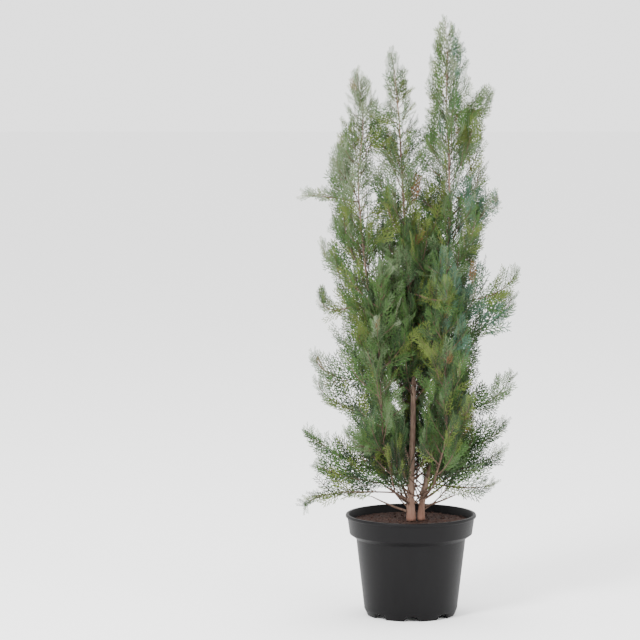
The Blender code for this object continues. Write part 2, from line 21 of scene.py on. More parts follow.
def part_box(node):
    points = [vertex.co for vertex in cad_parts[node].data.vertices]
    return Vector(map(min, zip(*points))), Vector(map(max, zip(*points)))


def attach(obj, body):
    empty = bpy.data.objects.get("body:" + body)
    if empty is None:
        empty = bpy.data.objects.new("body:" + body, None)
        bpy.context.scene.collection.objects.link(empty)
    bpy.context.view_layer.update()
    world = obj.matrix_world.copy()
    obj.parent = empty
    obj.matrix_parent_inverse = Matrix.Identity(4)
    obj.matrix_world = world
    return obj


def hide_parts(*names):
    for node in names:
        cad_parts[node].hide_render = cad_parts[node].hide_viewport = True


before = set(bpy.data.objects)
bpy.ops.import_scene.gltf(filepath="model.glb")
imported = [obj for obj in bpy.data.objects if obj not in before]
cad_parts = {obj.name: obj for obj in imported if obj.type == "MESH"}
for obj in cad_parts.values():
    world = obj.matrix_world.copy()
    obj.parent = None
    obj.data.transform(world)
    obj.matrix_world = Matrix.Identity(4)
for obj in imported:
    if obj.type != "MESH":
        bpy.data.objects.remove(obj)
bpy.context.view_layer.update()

logging.basicConfig(level=logging.INFO, format="%(message)s")
log = logging.getLogger("cypress")

UP = Vector((0.0, 0.0, 1.0))
GOLDEN_TURN = math.radians(137.508)
FULL_TURN = 2 * math.pi

# Sockets whose names come more than once on a node, by their numbers
MIX_COLOUR_A, MIX_COLOUR_B, MIX_COLOUR_RESULT = 6, 7, 2
COMPARE_INTEGER_A, COMPARE_INTEGER_B = 2, 3

Face = tuple[int, ...]
Colour = tuple[float, float, float]
Profile = list[tuple[float, float, bool]]
Span = tuple[float, float]


class Tint(Enum):
    """The greens that sprays are dealt, and the brown of the dying ones, as linear colours. The
    two darkest greens are painted shade within the plant, and the silver is partly the outer
    shoots' own grey-green and partly painted highlight.
    """

    # Silver: partly the outer shoots' own grey-green, partly painted highlight
    SILVER = (0.150, 0.188, 0.112)
    GREY_GREEN = (0.070, 0.114, 0.046)
    OLIVE = (0.082, 0.118, 0.018)
    MID_GREEN = (0.036, 0.086, 0.015)
    # The two darkest greens are painted shade, for sprays deep within and low in the plant
    SHADE_GREEN = (0.016, 0.043, 0.010)
    DEEP_SHADE_GREEN = (0.009, 0.024, 0.008)
    BLUE_GREEN = (0.040, 0.098, 0.060)
    BROWN = (0.130, 0.060, 0.020)


TINTS = list(Tint)


def new_piece(name: str, mesh: bpy.types.Mesh) -> bpy.types.Object:
    """Link a mesh to the scene as a piece at the origin.

    Args:
        name: The piece's name.
        mesh: Its mesh, in place.

    Returns:
        The new object.
    """
    piece = bpy.data.objects.new(name, mesh)
    bpy.context.scene.collection.objects.link(piece)
    return piece


def mesh_from_arrays(
    name: str, vertices: list[Vector], faces: list[Face], smooth: bool
) -> bpy.types.Mesh:
    """A mesh from lists of points and faces.

    Args:
        name: The mesh's name.
        vertices: Its points.
        faces: Its faces, as tuples of point numbers.
        smooth: Whether its faces are shaded smooth.

    Returns:
        The new mesh.
    """
    mesh = bpy.data.meshes.new(name)
    mesh.from_pydata([tuple(v) for v in vertices], [], faces)
    mesh.validate()
    if smooth:
        mesh.shade_smooth()
    mesh.update()
    return mesh


def frame_across(direction: Vector) -> tuple[Vector, Vector]:
    """Two unit vectors at right angles to a direction and to each other.

    Args:
        direction: The direction, of any length.

    Returns:
        A level one and the one that completes the frame.
    """
    along = direction.normalized()
    level = along.cross(UP)
    if level.length < 1e-4:
        level = Vector((1.0, 0.0, 0.0))
    level.normalize()
    return level, level.cross(along).normalized()


def level_heading(turn: float) -> Vector:
    """The level unit vector at an angle from +X."""
    return Vector((math.cos(turn), math.sin(turn), 0.0))


def step_at(share: float, count: int) -> tuple[int, float]:
    """Where a share of a line of points falls.

    Args:
        share: The share of the line, kept to 0 to 1.
        count: How many points the line has.

    Returns:
        The number of the point before it, and the part of the step past that point.
    """
    place = min(max(share, 0.0), 1.0) * (count - 1)
    i = min(int(place), count - 2)
    return i, place - i


# Finishes


@dataclass(frozen=True)
class LeafFinish:
    """The matt, faintly waxy face of a spray, in one plain colour."""

    tint: Tint
    roughness: float = 0.62
    specular: float = 0.35

    def material(self) -> bpy.types.Material:
        """Make the finish.

        Returns:
            The new material.
        """
        material = bpy.data.materials.new("leaf " + self.tint.name.lower().replace("_", " "))
        material.use_nodes = True
        shader = material.node_tree.nodes["Principled BSDF"]
        shader.inputs["Base Color"].default_value = (*self.tint.value, 1.0)
        shader.inputs["Roughness"].default_value = self.roughness
        shader.inputs["Specular IOR Level"].default_value = self.specular
        return material


@dataclass(frozen=True)
class MottledFinish:
    """A surface whose colour wanders between tones, over a fine grain.

    The pattern reads Object coordinates. `stretch` draws it out along Z. Where there is a
    foot tone, the colour fades into it below the foot's height.
    """

    name: str
    tones: tuple[Colour, ...]
    scale: float
    stretch: float
    roughness: float
    grain_scale: float
    grain_depth: float
    foot_tone: Colour | None = None
    foot_height: float = 0.0
    foot_fade: float = 0.05
    foot_share: float = 0.85
    specular: float = 0.4
    mottle_detail: float = 6.0
    mottle_roughness: float = 0.62
    first_tone: float = 0.30
    tone_span: float = 0.40
    grain_detail: float = 4.0
    grain_strength: float = 0.6

    def material(self) -> bpy.types.Material:
        """Make the finish.

        Returns:
            The new material.
        """
        material = bpy.data.materials.new(self.name)
        material.use_nodes = True
        tree = material.node_tree
        shader = tree.nodes["Principled BSDF"]
        shader.inputs["Roughness"].default_value = self.roughness
        shader.inputs["Specular IOR Level"].default_value = self.specular
        place = tree.nodes.new("ShaderNodeTexCoord")
        mapping = tree.nodes.new("ShaderNodeMapping")
        mapping.inputs["Scale"].default_value = (1.0, 1.0, 1.0 / self.stretch)
        tree.links.new(place.outputs["Object"], mapping.inputs["Vector"])
        mottle = tree.nodes.new("ShaderNodeTexNoise")
        mottle.inputs["Scale"].default_value = self.scale
        mottle.inputs["Detail"].default_value = self.mottle_detail
        mottle.inputs["Roughness"].default_value = self.mottle_roughness
        tree.links.new(mapping.outputs["Vector"], mottle.inputs["Vector"])
        ramp = tree.nodes.new("ShaderNodeValToRGB")
        elements = ramp.color_ramp.elements
        while len(elements) < len(self.tones):
            elements.new(0.5)
        for k, tone in enumerate(self.tones):
            elements[k].position = self.first_tone + self.tone_span * k / (len(self.tones) - 1)
            elements[k].color = (*tone, 1.0)
        tree.links.new(mottle.outputs["Fac"], ramp.inputs["Fac"])
        colour = ramp.outputs["Color"]
        if self.foot_tone:
            colour = self._redden_foot(tree, place, colour)
        tree.links.new(colour, shader.inputs["Base Color"])
        grain = tree.nodes.new("ShaderNodeTexNoise")
        grain.inputs["Scale"].default_value = self.grain_scale
        grain.inputs["Detail"].default_value = self.grain_detail
        tree.links.new(mapping.outputs["Vector"], grain.inputs["Vector"])
        bump = tree.nodes.new("ShaderNodeBump")
        bump.inputs["Strength"].default_value = self.grain_strength
        bump.inputs["Distance"].default_value = self.grain_depth
        tree.links.new(grain.outputs["Fac"], bump.inputs["Height"])
        tree.links.new(bump.outputs["Normal"], shader.inputs["Normal"])
        return material

    def _redden_foot(
        self, tree: bpy.types.NodeTree, place: bpy.types.Node, colour: bpy.types.NodeSocket
    ) -> bpy.types.NodeSocket:
        """Fade the colour into the foot's own tone below its height.

        Args:
            tree: The material's node tree.
            place: Its coordinates node.
            colour: The output to fade from.

        Returns:
            The faded colour's output.
        """
        split = tree.nodes.new("ShaderNodeSeparateXYZ")
        tree.links.new(place.outputs["Object"], split.inputs["Vector"])
        fade = tree.nodes.new("ShaderNodeMapRange")
        fade.inputs["From Min"].default_value = self.foot_height
        fade.inputs["From Max"].default_value = self.foot_height + self.foot_fade
        fade.inputs["To Min"].default_value = self.foot_share
        fade.inputs["To Max"].default_value = 0.0
        tree.links.new(split.outputs["Z"], fade.inputs["Value"])
        mix = tree.nodes.new("ShaderNodeMix")
        mix.data_type = "RGBA"
        tree.links.new(fade.outputs["Result"], mix.inputs["Factor"])
        tree.links.new(colour, mix.inputs[MIX_COLOUR_A])
        mix.inputs[MIX_COLOUR_B].default_value = (*self.foot_tone, 1.0)
        return mix.outputs[MIX_COLOUR_RESULT]


BARK = MottledFinish(
    name="tan bark",
    tones=((0.070, 0.044, 0.032), (0.175, 0.115, 0.082), (0.290, 0.205, 0.152)),
    scale=160.0,
    stretch=6.0,
    roughness=0.85,
    grain_scale=900.0,
    grain_depth=0.0006,
    foot_tone=(0.135, 0.060, 0.040),
    foot_height=0.192,
    foot_fade=0.06,
)
TWIG = MottledFinish(
    name="reddish twig bark",
    tones=((0.040, 0.022, 0.015), (0.085, 0.050, 0.034), (0.140, 0.095, 0.066)),
    scale=220.0,
    stretch=3.0,
    roughness=0.80,
    grain_scale=1200.0,
    grain_depth=0.0002,
)
SOIL = MottledFinish(
    name="moist potting soil",
    tones=((0.007, 0.003, 0.002), (0.022, 0.010, 0.007), (0.060, 0.030, 0.020)),
    scale=240.0,
    stretch=1.0,
    roughness=0.95,
    grain_scale=1400.0,
    grain_depth=0.0008,
    specular=0.2,
)
PLASTIC = MottledFinish(
    name="matt black moulded plastic",
    tones=((0.0018, 0.0016, 0.0019), (0.0030, 0.0028, 0.0032)),
    scale=26.0,
    stretch=5.0,
    roughness=0.50,
    grain_scale=2600.0,
    grain_depth=0.00012,
    specular=0.13,
)


# Reading the model's limbs and masses


class LimbLine:
    """A limb's centre line and radius, read from slices through its model node."""

    UPRIGHT = 0.6

    def __init__(self, node: str, slices: int = 60) -> None:
        """Slice the node.

        Args:
            node: The limb's node.
            slices: How many slices to take along it.
        """
        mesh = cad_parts[node].data
        points = np.array([v.co for v in mesh.vertices])
        edges = np.array([e.vertices[:] for e in mesh.edges])
        middle = points.mean(axis=0)
        axis = np.linalg.svd(points - middle, full_matrices=False)[2][0]
        upright = abs(axis[2]) > self.UPRIGHT
        outward = axis[2] if upright else float(axis[:2] @ middle[:2])
        if outward < 0:
            axis = -axis
        along = (points - middle) @ axis
        low, high = along.min(), along.max()
        a, b = along[edges[:, 0]], along[edges[:, 1]]
        self.centres: list[Vector] = []
        self.radii: list[float] = []
        for k in range(slices):
            cut = low + (high - low) * (k + 0.5) / slices
            hit = (a < cut) != (b < cut)
            t = ((cut - a[hit]) / (b[hit] - a[hit]))[:, None]
            ring = points[edges[hit, 0]] * (1 - t) + points[edges[hit, 1]] * t
            centre = (ring.min(axis=0) + ring.max(axis=0)) / 2
            self.centres.append(Vector(centre))
            self.radii.append(float(np.linalg.norm(ring - centre, axis=1).mean()))
        foot, tip = points[along.argmin()], points[along.argmax()]
        if upright:
            self.centres[0].z = foot[2]
            self.centres[-1].z = tip[2]

    def at(self, share: float) -> Vector:
        """The centre line's point at a share of its length."""
        i, part = step_at(share, len(self.centres))
        return self.centres[i].lerp(self.centres[i + 1], part)

    def radius(self, share: float) -> float:
        """The radius at a share of the length."""
        i, part = step_at(share, len(self.radii))
        return self.radii[i] + (self.radii[i + 1] - self.radii[i]) * part

    def at_height(self, height: float) -> Vector:
        """Find where a climbing limb is at a height.

        Args:
            height: The height.

        Returns:
            The centre line's point there, or its nearer end.
        """
        for low, high in zip(self.centres, self.centres[1:]):
            if low.z <= height <= high.z and high.z > low.z:
                return low.lerp(high, (height - low.z) / (high.z - low.z))
        return self.centres[0 if height < self.centres[0].z else -1].copy()


class FoliageSpace:
    """Where the model's masses of foliage are, on a grid of small cells."""

    CELL = 0.004
    MARGIN = 0.012
    NUDGE = 1e-5

    def __init__(self, nodes: list[str]) -> None:
        """Fill the grid by rays along +X, from each face they enter to where they leave.

        Args:
            nodes: The masses' nodes.
        """
        points: list[Vector] = []
        faces: list[Face] = []
        for node in nodes:
            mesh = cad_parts[node].data
            offset = len(points)
            points.extend(v.co.copy() for v in mesh.vertices)
            faces.extend(tuple(offset + i for i in p.vertices) for p in mesh.polygons)
        tree = BVHTree.FromPolygons(points, faces)
        coordinates = np.array(points)
        self.low = coordinates.min(axis=0) - self.MARGIN
        size = coordinates.max(axis=0) + self.MARGIN - self.low
        self.shape = tuple(int(math.ceil(s / self.CELL)) for s in size)
        self.cells = np.zeros(self.shape, dtype=bool)
        ray = Vector((1.0, 0.0, 0.0))
        for j in range(self.shape[1]):
            for k in range(self.shape[2]):
                start = Vector(self.low + (0.0, (j + 0.5) * self.CELL, (k + 0.5) * self.CELL))
                entered = None
                hit, normal, _, _ = tree.ray_cast(start, ray)
                while hit is not None:
                    if normal.x < 0:
                        entered = hit.x
                    elif entered is not None:
                        first = int((entered - self.low[0]) / self.CELL)
                        last = int((hit.x - self.low[0]) / self.CELL)
                        self.cells[first : last + 1, j, k] = True
                    hit, normal, _, _ = tree.ray_cast(hit + ray * self.NUDGE, ray)

    def holds(self, point: Vector) -> bool:
        """Whether a point is in a mass.

        Args:
            point: The point.

        Returns:
            Whether the grid's cell there is filled.
        """
        cell = [int((point[k] - self.low[k]) / self.CELL) for k in range(3)]
        if any(c < 0 or c >= n for c, n in zip(cell, self.shape)):
            return False
        return bool(self.cells[cell[0], cell[1], cell[2]])


# Branches and sprays


@dataclass
class Branch:
    """A woody side branch.

    It has its line, its radius at foot and tip and its zone, and then how far apart its
    sprays are, how large they are for their place and what share of it has none.
    """

    points: list[Vector]
    foot_radius: float
    tip_radius: float
    zone: str
    gap: float = 0.0094
    lush: float = 1.0
    bare: float = 0.16

    def length(self) -> float:
        """The length of its line."""
        return sum((b - a).length for a, b in zip(self.points, self.points[1:]))

    def at(self, share: float) -> tuple[Vector, Vector]:
        """Find a place on its line.

        Args:
            share: The share of the line.

        Returns:
            The point and the direction there.
        """
        i, part = step_at(share, len(self.points))
        a, b = self.points[i], self.points[i + 1]
        return a.lerp(b, part), (b - a).normalized()


@dataclass
class Spray:
    """One flat spray: where it starts, how it is turned, its size, kind, tint and zone."""

    place: Vector
    turn: Euler
    size: float
    kind: int
    tint: int
    zone: str


@dataclass(frozen=True)
class SprayRule:
    """How a flat spray branches, from its axis to branchlets set with scale leaves.

    The spray lies in the XZ plane and grows along +Z from the origin. Each Span is the
    least and the greatest of a number that is drawn.
    """

    kinds: int = 7
    length: float = 0.080
    side_spacing: float = 0.0102
    side_angle: float = math.radians(44)
    side_length: float = 0.033
    leaflet_spacing: float = 0.0070
    leaflet_angle: float = math.radians(46)
    leaflet_length: float = 0.0108
    leaf_width: float = 0.0024
    axis_width: float = 1.15
    leaflet_width: float = 0.9
    fold: float = 0.0007
    axis_radius: float = 0.0007
    axis_taper: float = 0.25
    bow: Span = (-0.16, 0.16)
    cup: Span = (-0.5, 0.5)
    cup_along: float = 0.3
    axis_overlap: float = 1.5
    side_overlap: float = 1.6
    missing_sides: float = 0.08
    side_stagger: float = 0.25
    side_curve: float = 0.35
    side_reach: Span = (0.72, 1.12)
    side_lean: Span = (0.85, 1.15)
    foot_outline: float = 0.45
    outline_rise: float = 2.2
    outline_end: float = 1.06
    outline_power: float = 0.85
    leaflet_start: float = 1.15
    leaflet_fall: float = 0.6
    leaflet_size: Span = (0.75, 1.2)

    def build(self, kind: int) -> tuple[bpy.types.Object, bpy.types.Object]:
        """Grow one kind of spray.

        Args:
            kind: Its number, which also seeds its unevenness.

        Returns:
            Its leaves and its woody axis, as two objects.
        """
        rng = random.Random(1000 + kind)
        leaves = LeafMesh(self)
        bow = rng.uniform(*self.bow)
        cup = rng.uniform(*self.cup)

        def bend(x: float, z: float) -> Vector:
            """Bow a place on the flat spray sideways, and cup it.

            Args:
                x: How far it is from the axis.
                z: How far it is along the axis.

            Returns:
                Where it comes.
            """
            share = z / self.length
            depth = cup * (x * x + self.cup_along * z * z) / self.length
            return Vector((x + bow * z * share, depth, z))

        steps = int(self.length / self.side_spacing)
        for k in range(steps):
            z = k * self.side_spacing
            foot, head = bend(0, z), bend(0, z + self.side_spacing * self.axis_overlap)
            leaves.add(foot, head, self.leaf_width * self.axis_width)
            if k == 0:
                continue
            share = z / self.length
            outline = min(1.0, self.foot_outline + share * self.outline_rise)
            outline *= (self.outline_end - share) ** self.outline_power
            for side in (-1, 1):
                if rng.random() < self.missing_sides:
                    continue
                reach = self.side_length * outline * rng.uniform(*self.side_reach)
                start = z + side * self.side_spacing * self.side_stagger
                self._grow_side(leaves, bend, rng, start, side, reach)
        leaf_object = new_hidden(f"spray_{kind}", leaves.mesh(f"spray_{kind}"))
        axis = [bend(0, self.length * s) for s in (0.0, 0.3, 0.6, 0.9)]
        radii = [self.axis_radius * (1 - self.axis_taper * i) for i in range(4)]
        wood = tube_mesh(f"axis_{kind}", axis, radii, 3)
        return leaf_object, new_hidden(f"axis_{kind}", wood)

    def _grow_side(
        self,
        leaves: "LeafMesh",
        bend: Callable[[float, float], Vector],
        rng: random.Random,
        start: float,
        side: int,
        reach: float,
    ) -> None:
        """Grow one side branchlet with its own leaflets.

        Args:
            leaves: The mesh that takes the leaves.
            bend: The function that bends the flat spray.
            rng: The spray's seeded numbers.
            start: Where on the axis it starts.
            side: -1 or 1.
            reach: Its length.
        """
        angle = self.side_angle * rng.uniform(*self.side_lean)
        steps = max(2, int(reach / self.leaflet_spacing))
        for j in range(steps):
            run = j * self.leaflet_spacing
            lean = angle * (1 - self.side_curve * j / steps)
            x = side * run * math.sin(lean)
            z = start + run * math.cos(lean)
            step = self.leaflet_spacing * self.side_overlap
            head_x = x + side * step * math.sin(lean)
            head_z = z + step * math.cos(lean)
            leaves.add(bend(x, z), bend(head_x, head_z), self.leaf_width)
            if j == 0:
                continue
            flank = 1 if j % 2 else -1
            turn = lean + flank * self.leaflet_angle
            size = self.leaflet_length * (self.leaflet_start - self.leaflet_fall * j / steps)
            size *= rng.uniform(*self.leaflet_size)
            tip_x = x + side * size * math.sin(turn)
            tip_z = z + size * math.cos(turn)
            leaves.add(bend(x, z), bend(tip_x, tip_z), self.leaf_width * self.leaflet_width)


class LeafMesh:
    """A growing mesh of leafy shoots, each a narrow kite folded along its middle."""

    WIDEST = 0.45

    def __init__(self, rule: SprayRule) -> None:
        """Start a mesh with no shoots.

        Args:
            rule: The rule that says how deep the fold is.
        """
        self.rule = rule
        self.vertices: list[Vector] = []
        self.faces: list[Face] = []

    def add(self, foot: Vector, tip: Vector, width: float) -> None:
        """Add a shoot.

        Args:
            foot: Its foot.
            tip: Its tip.
            width: Its width.
        """
        along = tip - foot
        across = Vector((along.z, 0.0, -along.x)).normalized() * (width / 2)
        belly = foot + along * self.WIDEST
        sunk = Vector((0.0, self.rule.fold, 0.0))
        n = len(self.vertices)
        self.vertices += [foot, belly + across + sunk, tip, belly - across + sunk]
        self.faces += [(n, n + 1, n + 2), (n, n + 2, n + 3)]

    def mesh(self, name: str) -> bpy.types.Mesh:
        """The finished mesh."""
        return mesh_from_arrays(name, self.vertices, self.faces, smooth=False)


SPRAY = SprayRule()


def tube_mesh(
    name: str, line: list[Vector], radii: list[float], sides: int
) -> bpy.types.Mesh:
    """A closed tapering tube along a line.

    Args:
        name: The mesh's name.
        line: Its centre points.
        radii: The radius at each.
        sides: How many sides it has.

    Returns:
        The new mesh.
    """
    vertices: list[Vector] = []
    faces: list[Face] = []
    add_tube(vertices, faces, line, radii, sides)
    return mesh_from_arrays(name, vertices, faces, smooth=True)


def add_tube(
    vertices: list[Vector],
    faces: list[Face],
    line: list[Vector],
    radii: list[float],
    sides: int,
) -> None:
    """Add a closed tapering tube to lists of points and faces.

    Args:
        vertices: The points so far.
        faces: The faces so far.
        line: The tube's centre points.
        radii: The radius at each.
        sides: How many sides it has.
    """
    first = len(vertices)
    for k, centre in enumerate(line):
        ahead = line[min(k + 1, len(line) - 1)] - line[max(k - 1, 0)]
        level, over = frame_across(ahead)
        for i in range(sides):
            a = FULL_TURN * i / sides
            vertices.append(centre + (level * math.cos(a) + over * math.sin(a)) * radii[k])
    close_tube(faces, first, len(line), sides)


def close_tube(faces: list[Face], first: int, rings: int, sides: int) -> None:
    """Join rings of points into a tube that is closed at both ends.

    Args:
        faces: The faces so far.
        first: The number of the first ring's first point.
        rings: How many rings there are.
        sides: How many points each has.
    """
    for k in range(rings - 1):
        for i in range(sides):
            j = (i + 1) % sides
            low, high = first + k * sides, first + (k + 1) * sides
            faces.append((low + j, low + i, high + i, high + j))
    faces.append(tuple(first + i for i in range(sides)))
    last = first + (rings - 1) * sides
    faces.append(tuple(last + i for i in reversed(range(sides))))


def new_hidden(name: str, mesh: bpy.types.Mesh) -> bpy.types.Object:
    """A prototype that only Geometry Nodes see, in no collection of the scene."""
    return bpy.data.objects.new(name, mesh)


class SpraySpreader:
    """Geometry Nodes that set prototypes on points and join them into one mesh."""

    def __init__(self, name: str, materials: list[bpy.types.Material]) -> None:
        """Build the tree.

        Args:
            name: The tree's name.
            materials: The finishes, in the order of the points' tint numbers.
        """
        self.materials = materials
        self.tree = bpy.data.node_groups.new(name, "GeometryNodeTree")
        face = self.tree.interface
        face.new_socket("Points", in_out="INPUT", socket_type="NodeSocketGeometry")
        self.kinds = face.new_socket("Kinds", in_out="INPUT", socket_type="NodeSocketCollection")
        self.growth = face.new_socket("Growth", in_out="INPUT", socket_type="NodeSocketFloat")
        face.new_socket("Sprays", in_out="OUTPUT", socket_type="NodeSocketGeometry")
        nodes, links = self.tree.nodes, self.tree.links
        start = nodes.new("NodeGroupInput")
        end = nodes.new("NodeGroupOutput")
        kinds = nodes.new("GeometryNodeCollectionInfo")
        kinds.inputs["Separate Children"].default_value = True
        kinds.inputs["Reset Children"].default_value = True
        links.new(start.outputs["Kinds"], kinds.inputs["Collection"])
        place = nodes.new("GeometryNodeInstanceOnPoints")
        place.inputs["Pick Instance"].default_value = True
        links.new(start.outputs["Points"], place.inputs["Points"])
        links.new(kinds.outputs["Instances"], place.inputs["Instance"])
        links.new(self._named("INT", "kind"), place.inputs["Instance Index"])
        links.new(self._named("FLOAT_VECTOR", "turn"), place.inputs["Rotation"])
        grow = nodes.new("ShaderNodeMath")
        grow.operation = "MULTIPLY"
        links.new(self._named("FLOAT", "size"), grow.inputs[0])
        links.new(start.outputs["Growth"], grow.inputs[1])
        links.new(grow.outputs[0], place.inputs["Scale"])
        realize = nodes.new("GeometryNodeRealizeInstances")
        links.new(place.outputs["Instances"], realize.inputs["Geometry"])
        last = realize.outputs["Geometry"]
        for k, material in enumerate(materials):
            dress = nodes.new("GeometryNodeSetMaterial")
            dress.inputs["Material"].default_value = material
            if len(materials) > 1:
                match = nodes.new("FunctionNodeCompare")
                match.data_type = "INT"
                match.operation = "EQUAL"
                links.new(self._named("INT", "tint"), match.inputs[COMPARE_INTEGER_A])
                match.inputs[COMPARE_INTEGER_B].default_value = k
                links.new(match.outputs["Result"], dress.inputs["Selection"])
            links.new(last, dress.inputs["Geometry"])
            last = dress.outputs["Geometry"]
        links.new(last, end.inputs["Sprays"])

    def _named(self, data_type: str, name: str) -> bpy.types.NodeSocket:
        """Add a node that reads a named attribute.

        Args:
            data_type: The attribute's type.
            name: Its name.

        Returns:
            The node's output.
        """
        node = self.tree.nodes.new("GeometryNodeInputNamedAttribute")
        node.data_type = data_type
        node.inputs["Name"].default_value = name
        return node.outputs["Attribute"]

    def spread(
        self, name: str, sprays: list[Spray], kinds: bpy.types.Collection
    ) -> bpy.types.Object:
        """Set the prototypes on the sprays' places.

        Args:
            name: The new piece's name.
            sprays: The sprays.
            kinds: The prototypes, in the order of their names.

        Returns:
            The joined piece.
        """
        cloud = bpy.data.meshes.new(name + " places")
        cloud.from_pydata([tuple(s.place) for s in sprays], [], [])
        turn = cloud.attributes.new("turn", "FLOAT_VECTOR", "POINT")
        turn.data.foreach_set("vector", [v for s in sprays for v in s.turn])
        size = cloud.attributes.new("size", "FLOAT", "POINT")
        size.data.foreach_set("value", [s.size for s in sprays])
        kind = cloud.attributes.new("kind", "INT", "POINT")
        kind.data.foreach_set("value", [s.kind for s in sprays])
        tint = cloud.attributes.new("tint", "INT", "POINT")
        tint.data.foreach_set("value", [s.tint for s in sprays])
        carrier = new_piece(name + " places", cloud)
        modifier = carrier.modifiers.new("spread", "NODES")
        modifier.node_group = self.tree
        modifier[self.kinds.identifier] = kinds
        modifier[self.growth.identifier] = 1.0
        graph = bpy.context.evaluated_depsgraph_get()
        mesh = bpy.data.meshes.new_from_object(carrier.evaluated_get(graph), depsgraph=graph)
        bpy.data.objects.remove(carrier)
        mesh.name = name
        for attribute in ("kind", "tint", "size", "turn"):
            layer = mesh.attributes.get(attribute)
            if layer:
                mesh.attributes.remove(layer)
        return new_piece(name, mesh)


# The plant


@dataclass
class Stems:
    """The trunk, the leaders and the low boughs, with a bark in relief.

    The two grains are how fine the bark's patterns are around and along a limb.
    """

    stems: tuple[str, ...] = ("trunk", "right_leader", "left_leader", "back_leader")
    ring_step: float = 0.0035
    sides: int = 28
    bough_sides: int = 12
    relief: float = 0.085
    strip_grain: tuple[float, float] = (2.6, 34.0)
    fine_grain: tuple[float, float] = (7.0, 110.0)
    fine_share: float = 0.6
    thinning: float = 0.50
    look_ahead: float = 0.01
    lines: dict[str, LimbLine] = field(default_factory=dict)

    def read(self) -> None:
        """Read every limb's line from the model."""
        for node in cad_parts:
            if node in self.stems or node.startswith("bough"):
                self.lines[node] = LimbLine(node)

    def build(self) -> None:
        """Make the bark of each limb, in place of its model node."""
        bark = BARK.material()
        twig = TWIG.material()
        for node, line in self.lines.items():
            stem = node in self.stems
            piece = new_piece("bark_" + node, self._bark_mesh(node, line, stem))
            piece.data.materials.append(bark if stem else twig)
            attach(piece, "root")
            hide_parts(node)
            log.info("%s: %d faces", piece.name, len(piece.data.polygons))

    def _bark_mesh(self, node: str, line: LimbLine, stem: bool) -> bpy.types.Mesh:
        """A limb's bark: rings round its line, raised in lengthwise strips with fine knots.

        Args:
            node: The limb's node.
            line: Its centre line.
            stem: Whether it is a stem and not a bough.

        Returns:
            The new mesh.
        """
        length = sum((b - a).length for a, b in zip(line.centres, line.centres[1:]))
        count = max(8, int(length / self.ring_step))
        sides = self.sides if stem else self.bough_sides
        seed = Vector((sum(map(ord, node)) * 0.37, 0.0, 0.0))
        vertices: list[Vector] = []
        faces: list[Face] = []
        for k in range(count + 1):
            share = k / count
            centre = line.at(share)
            ahead = line.at(share + self.look_ahead) - line.at(share - self.look_ahead)
            level, over = frame_across(ahead)
            base = line.radius(share) * (1 - self.thinning * share)
            for i in range(sides):
                a = FULL_TURN * i / sides
                around = level * math.cos(a) + over * math.sin(a)
                strips = self._grain(seed, a, centre.z, self.strip_grain)
                fine = self._grain(seed, a, centre.z, self.fine_grain)
                swell = 1 + self.relief * strips + self.relief * self.fine_share * fine
                vertices.append(centre + around * (base * swell))
        close_tube(faces, 0, count + 1, sides)
        return mesh_from_arrays("bark_" + node, vertices, faces, smooth=True)

    def _grain(
        self, seed: Vector, angle: float, height: float, grain: tuple[float, float]
    ) -> float:
        """The bark's unevenness at a place.

        Args:
            seed: The limb's own shift of the pattern.
            angle: The place's angle round the limb.
            height: Its height.
            grain: How fine the pattern is around and along the limb.

        Returns:
            A number from about -1 to 1.
        """
        around, along = grain
        ring = Vector((math.cos(angle) * around, math.sin(angle) * around, height * along))
        return noise.noise(seed + ring)


COLUMN_OF = {
    "trunk": "middle",
    "right_leader": "right",
    "left_leader": "left",
    "back_leader": "back",
}
# Tints by paleness: the top is partly own grey and partly painted highlight, the lowest are
# painted shade
PALENESS_AND_PAINTED_LIGHT = (
    (0.82, Tint.SILVER),
    (0.58, Tint.GREY_GREEN),
    (0.34, Tint.MID_GREEN),
    (0.12, Tint.SHADE_GREEN),
)


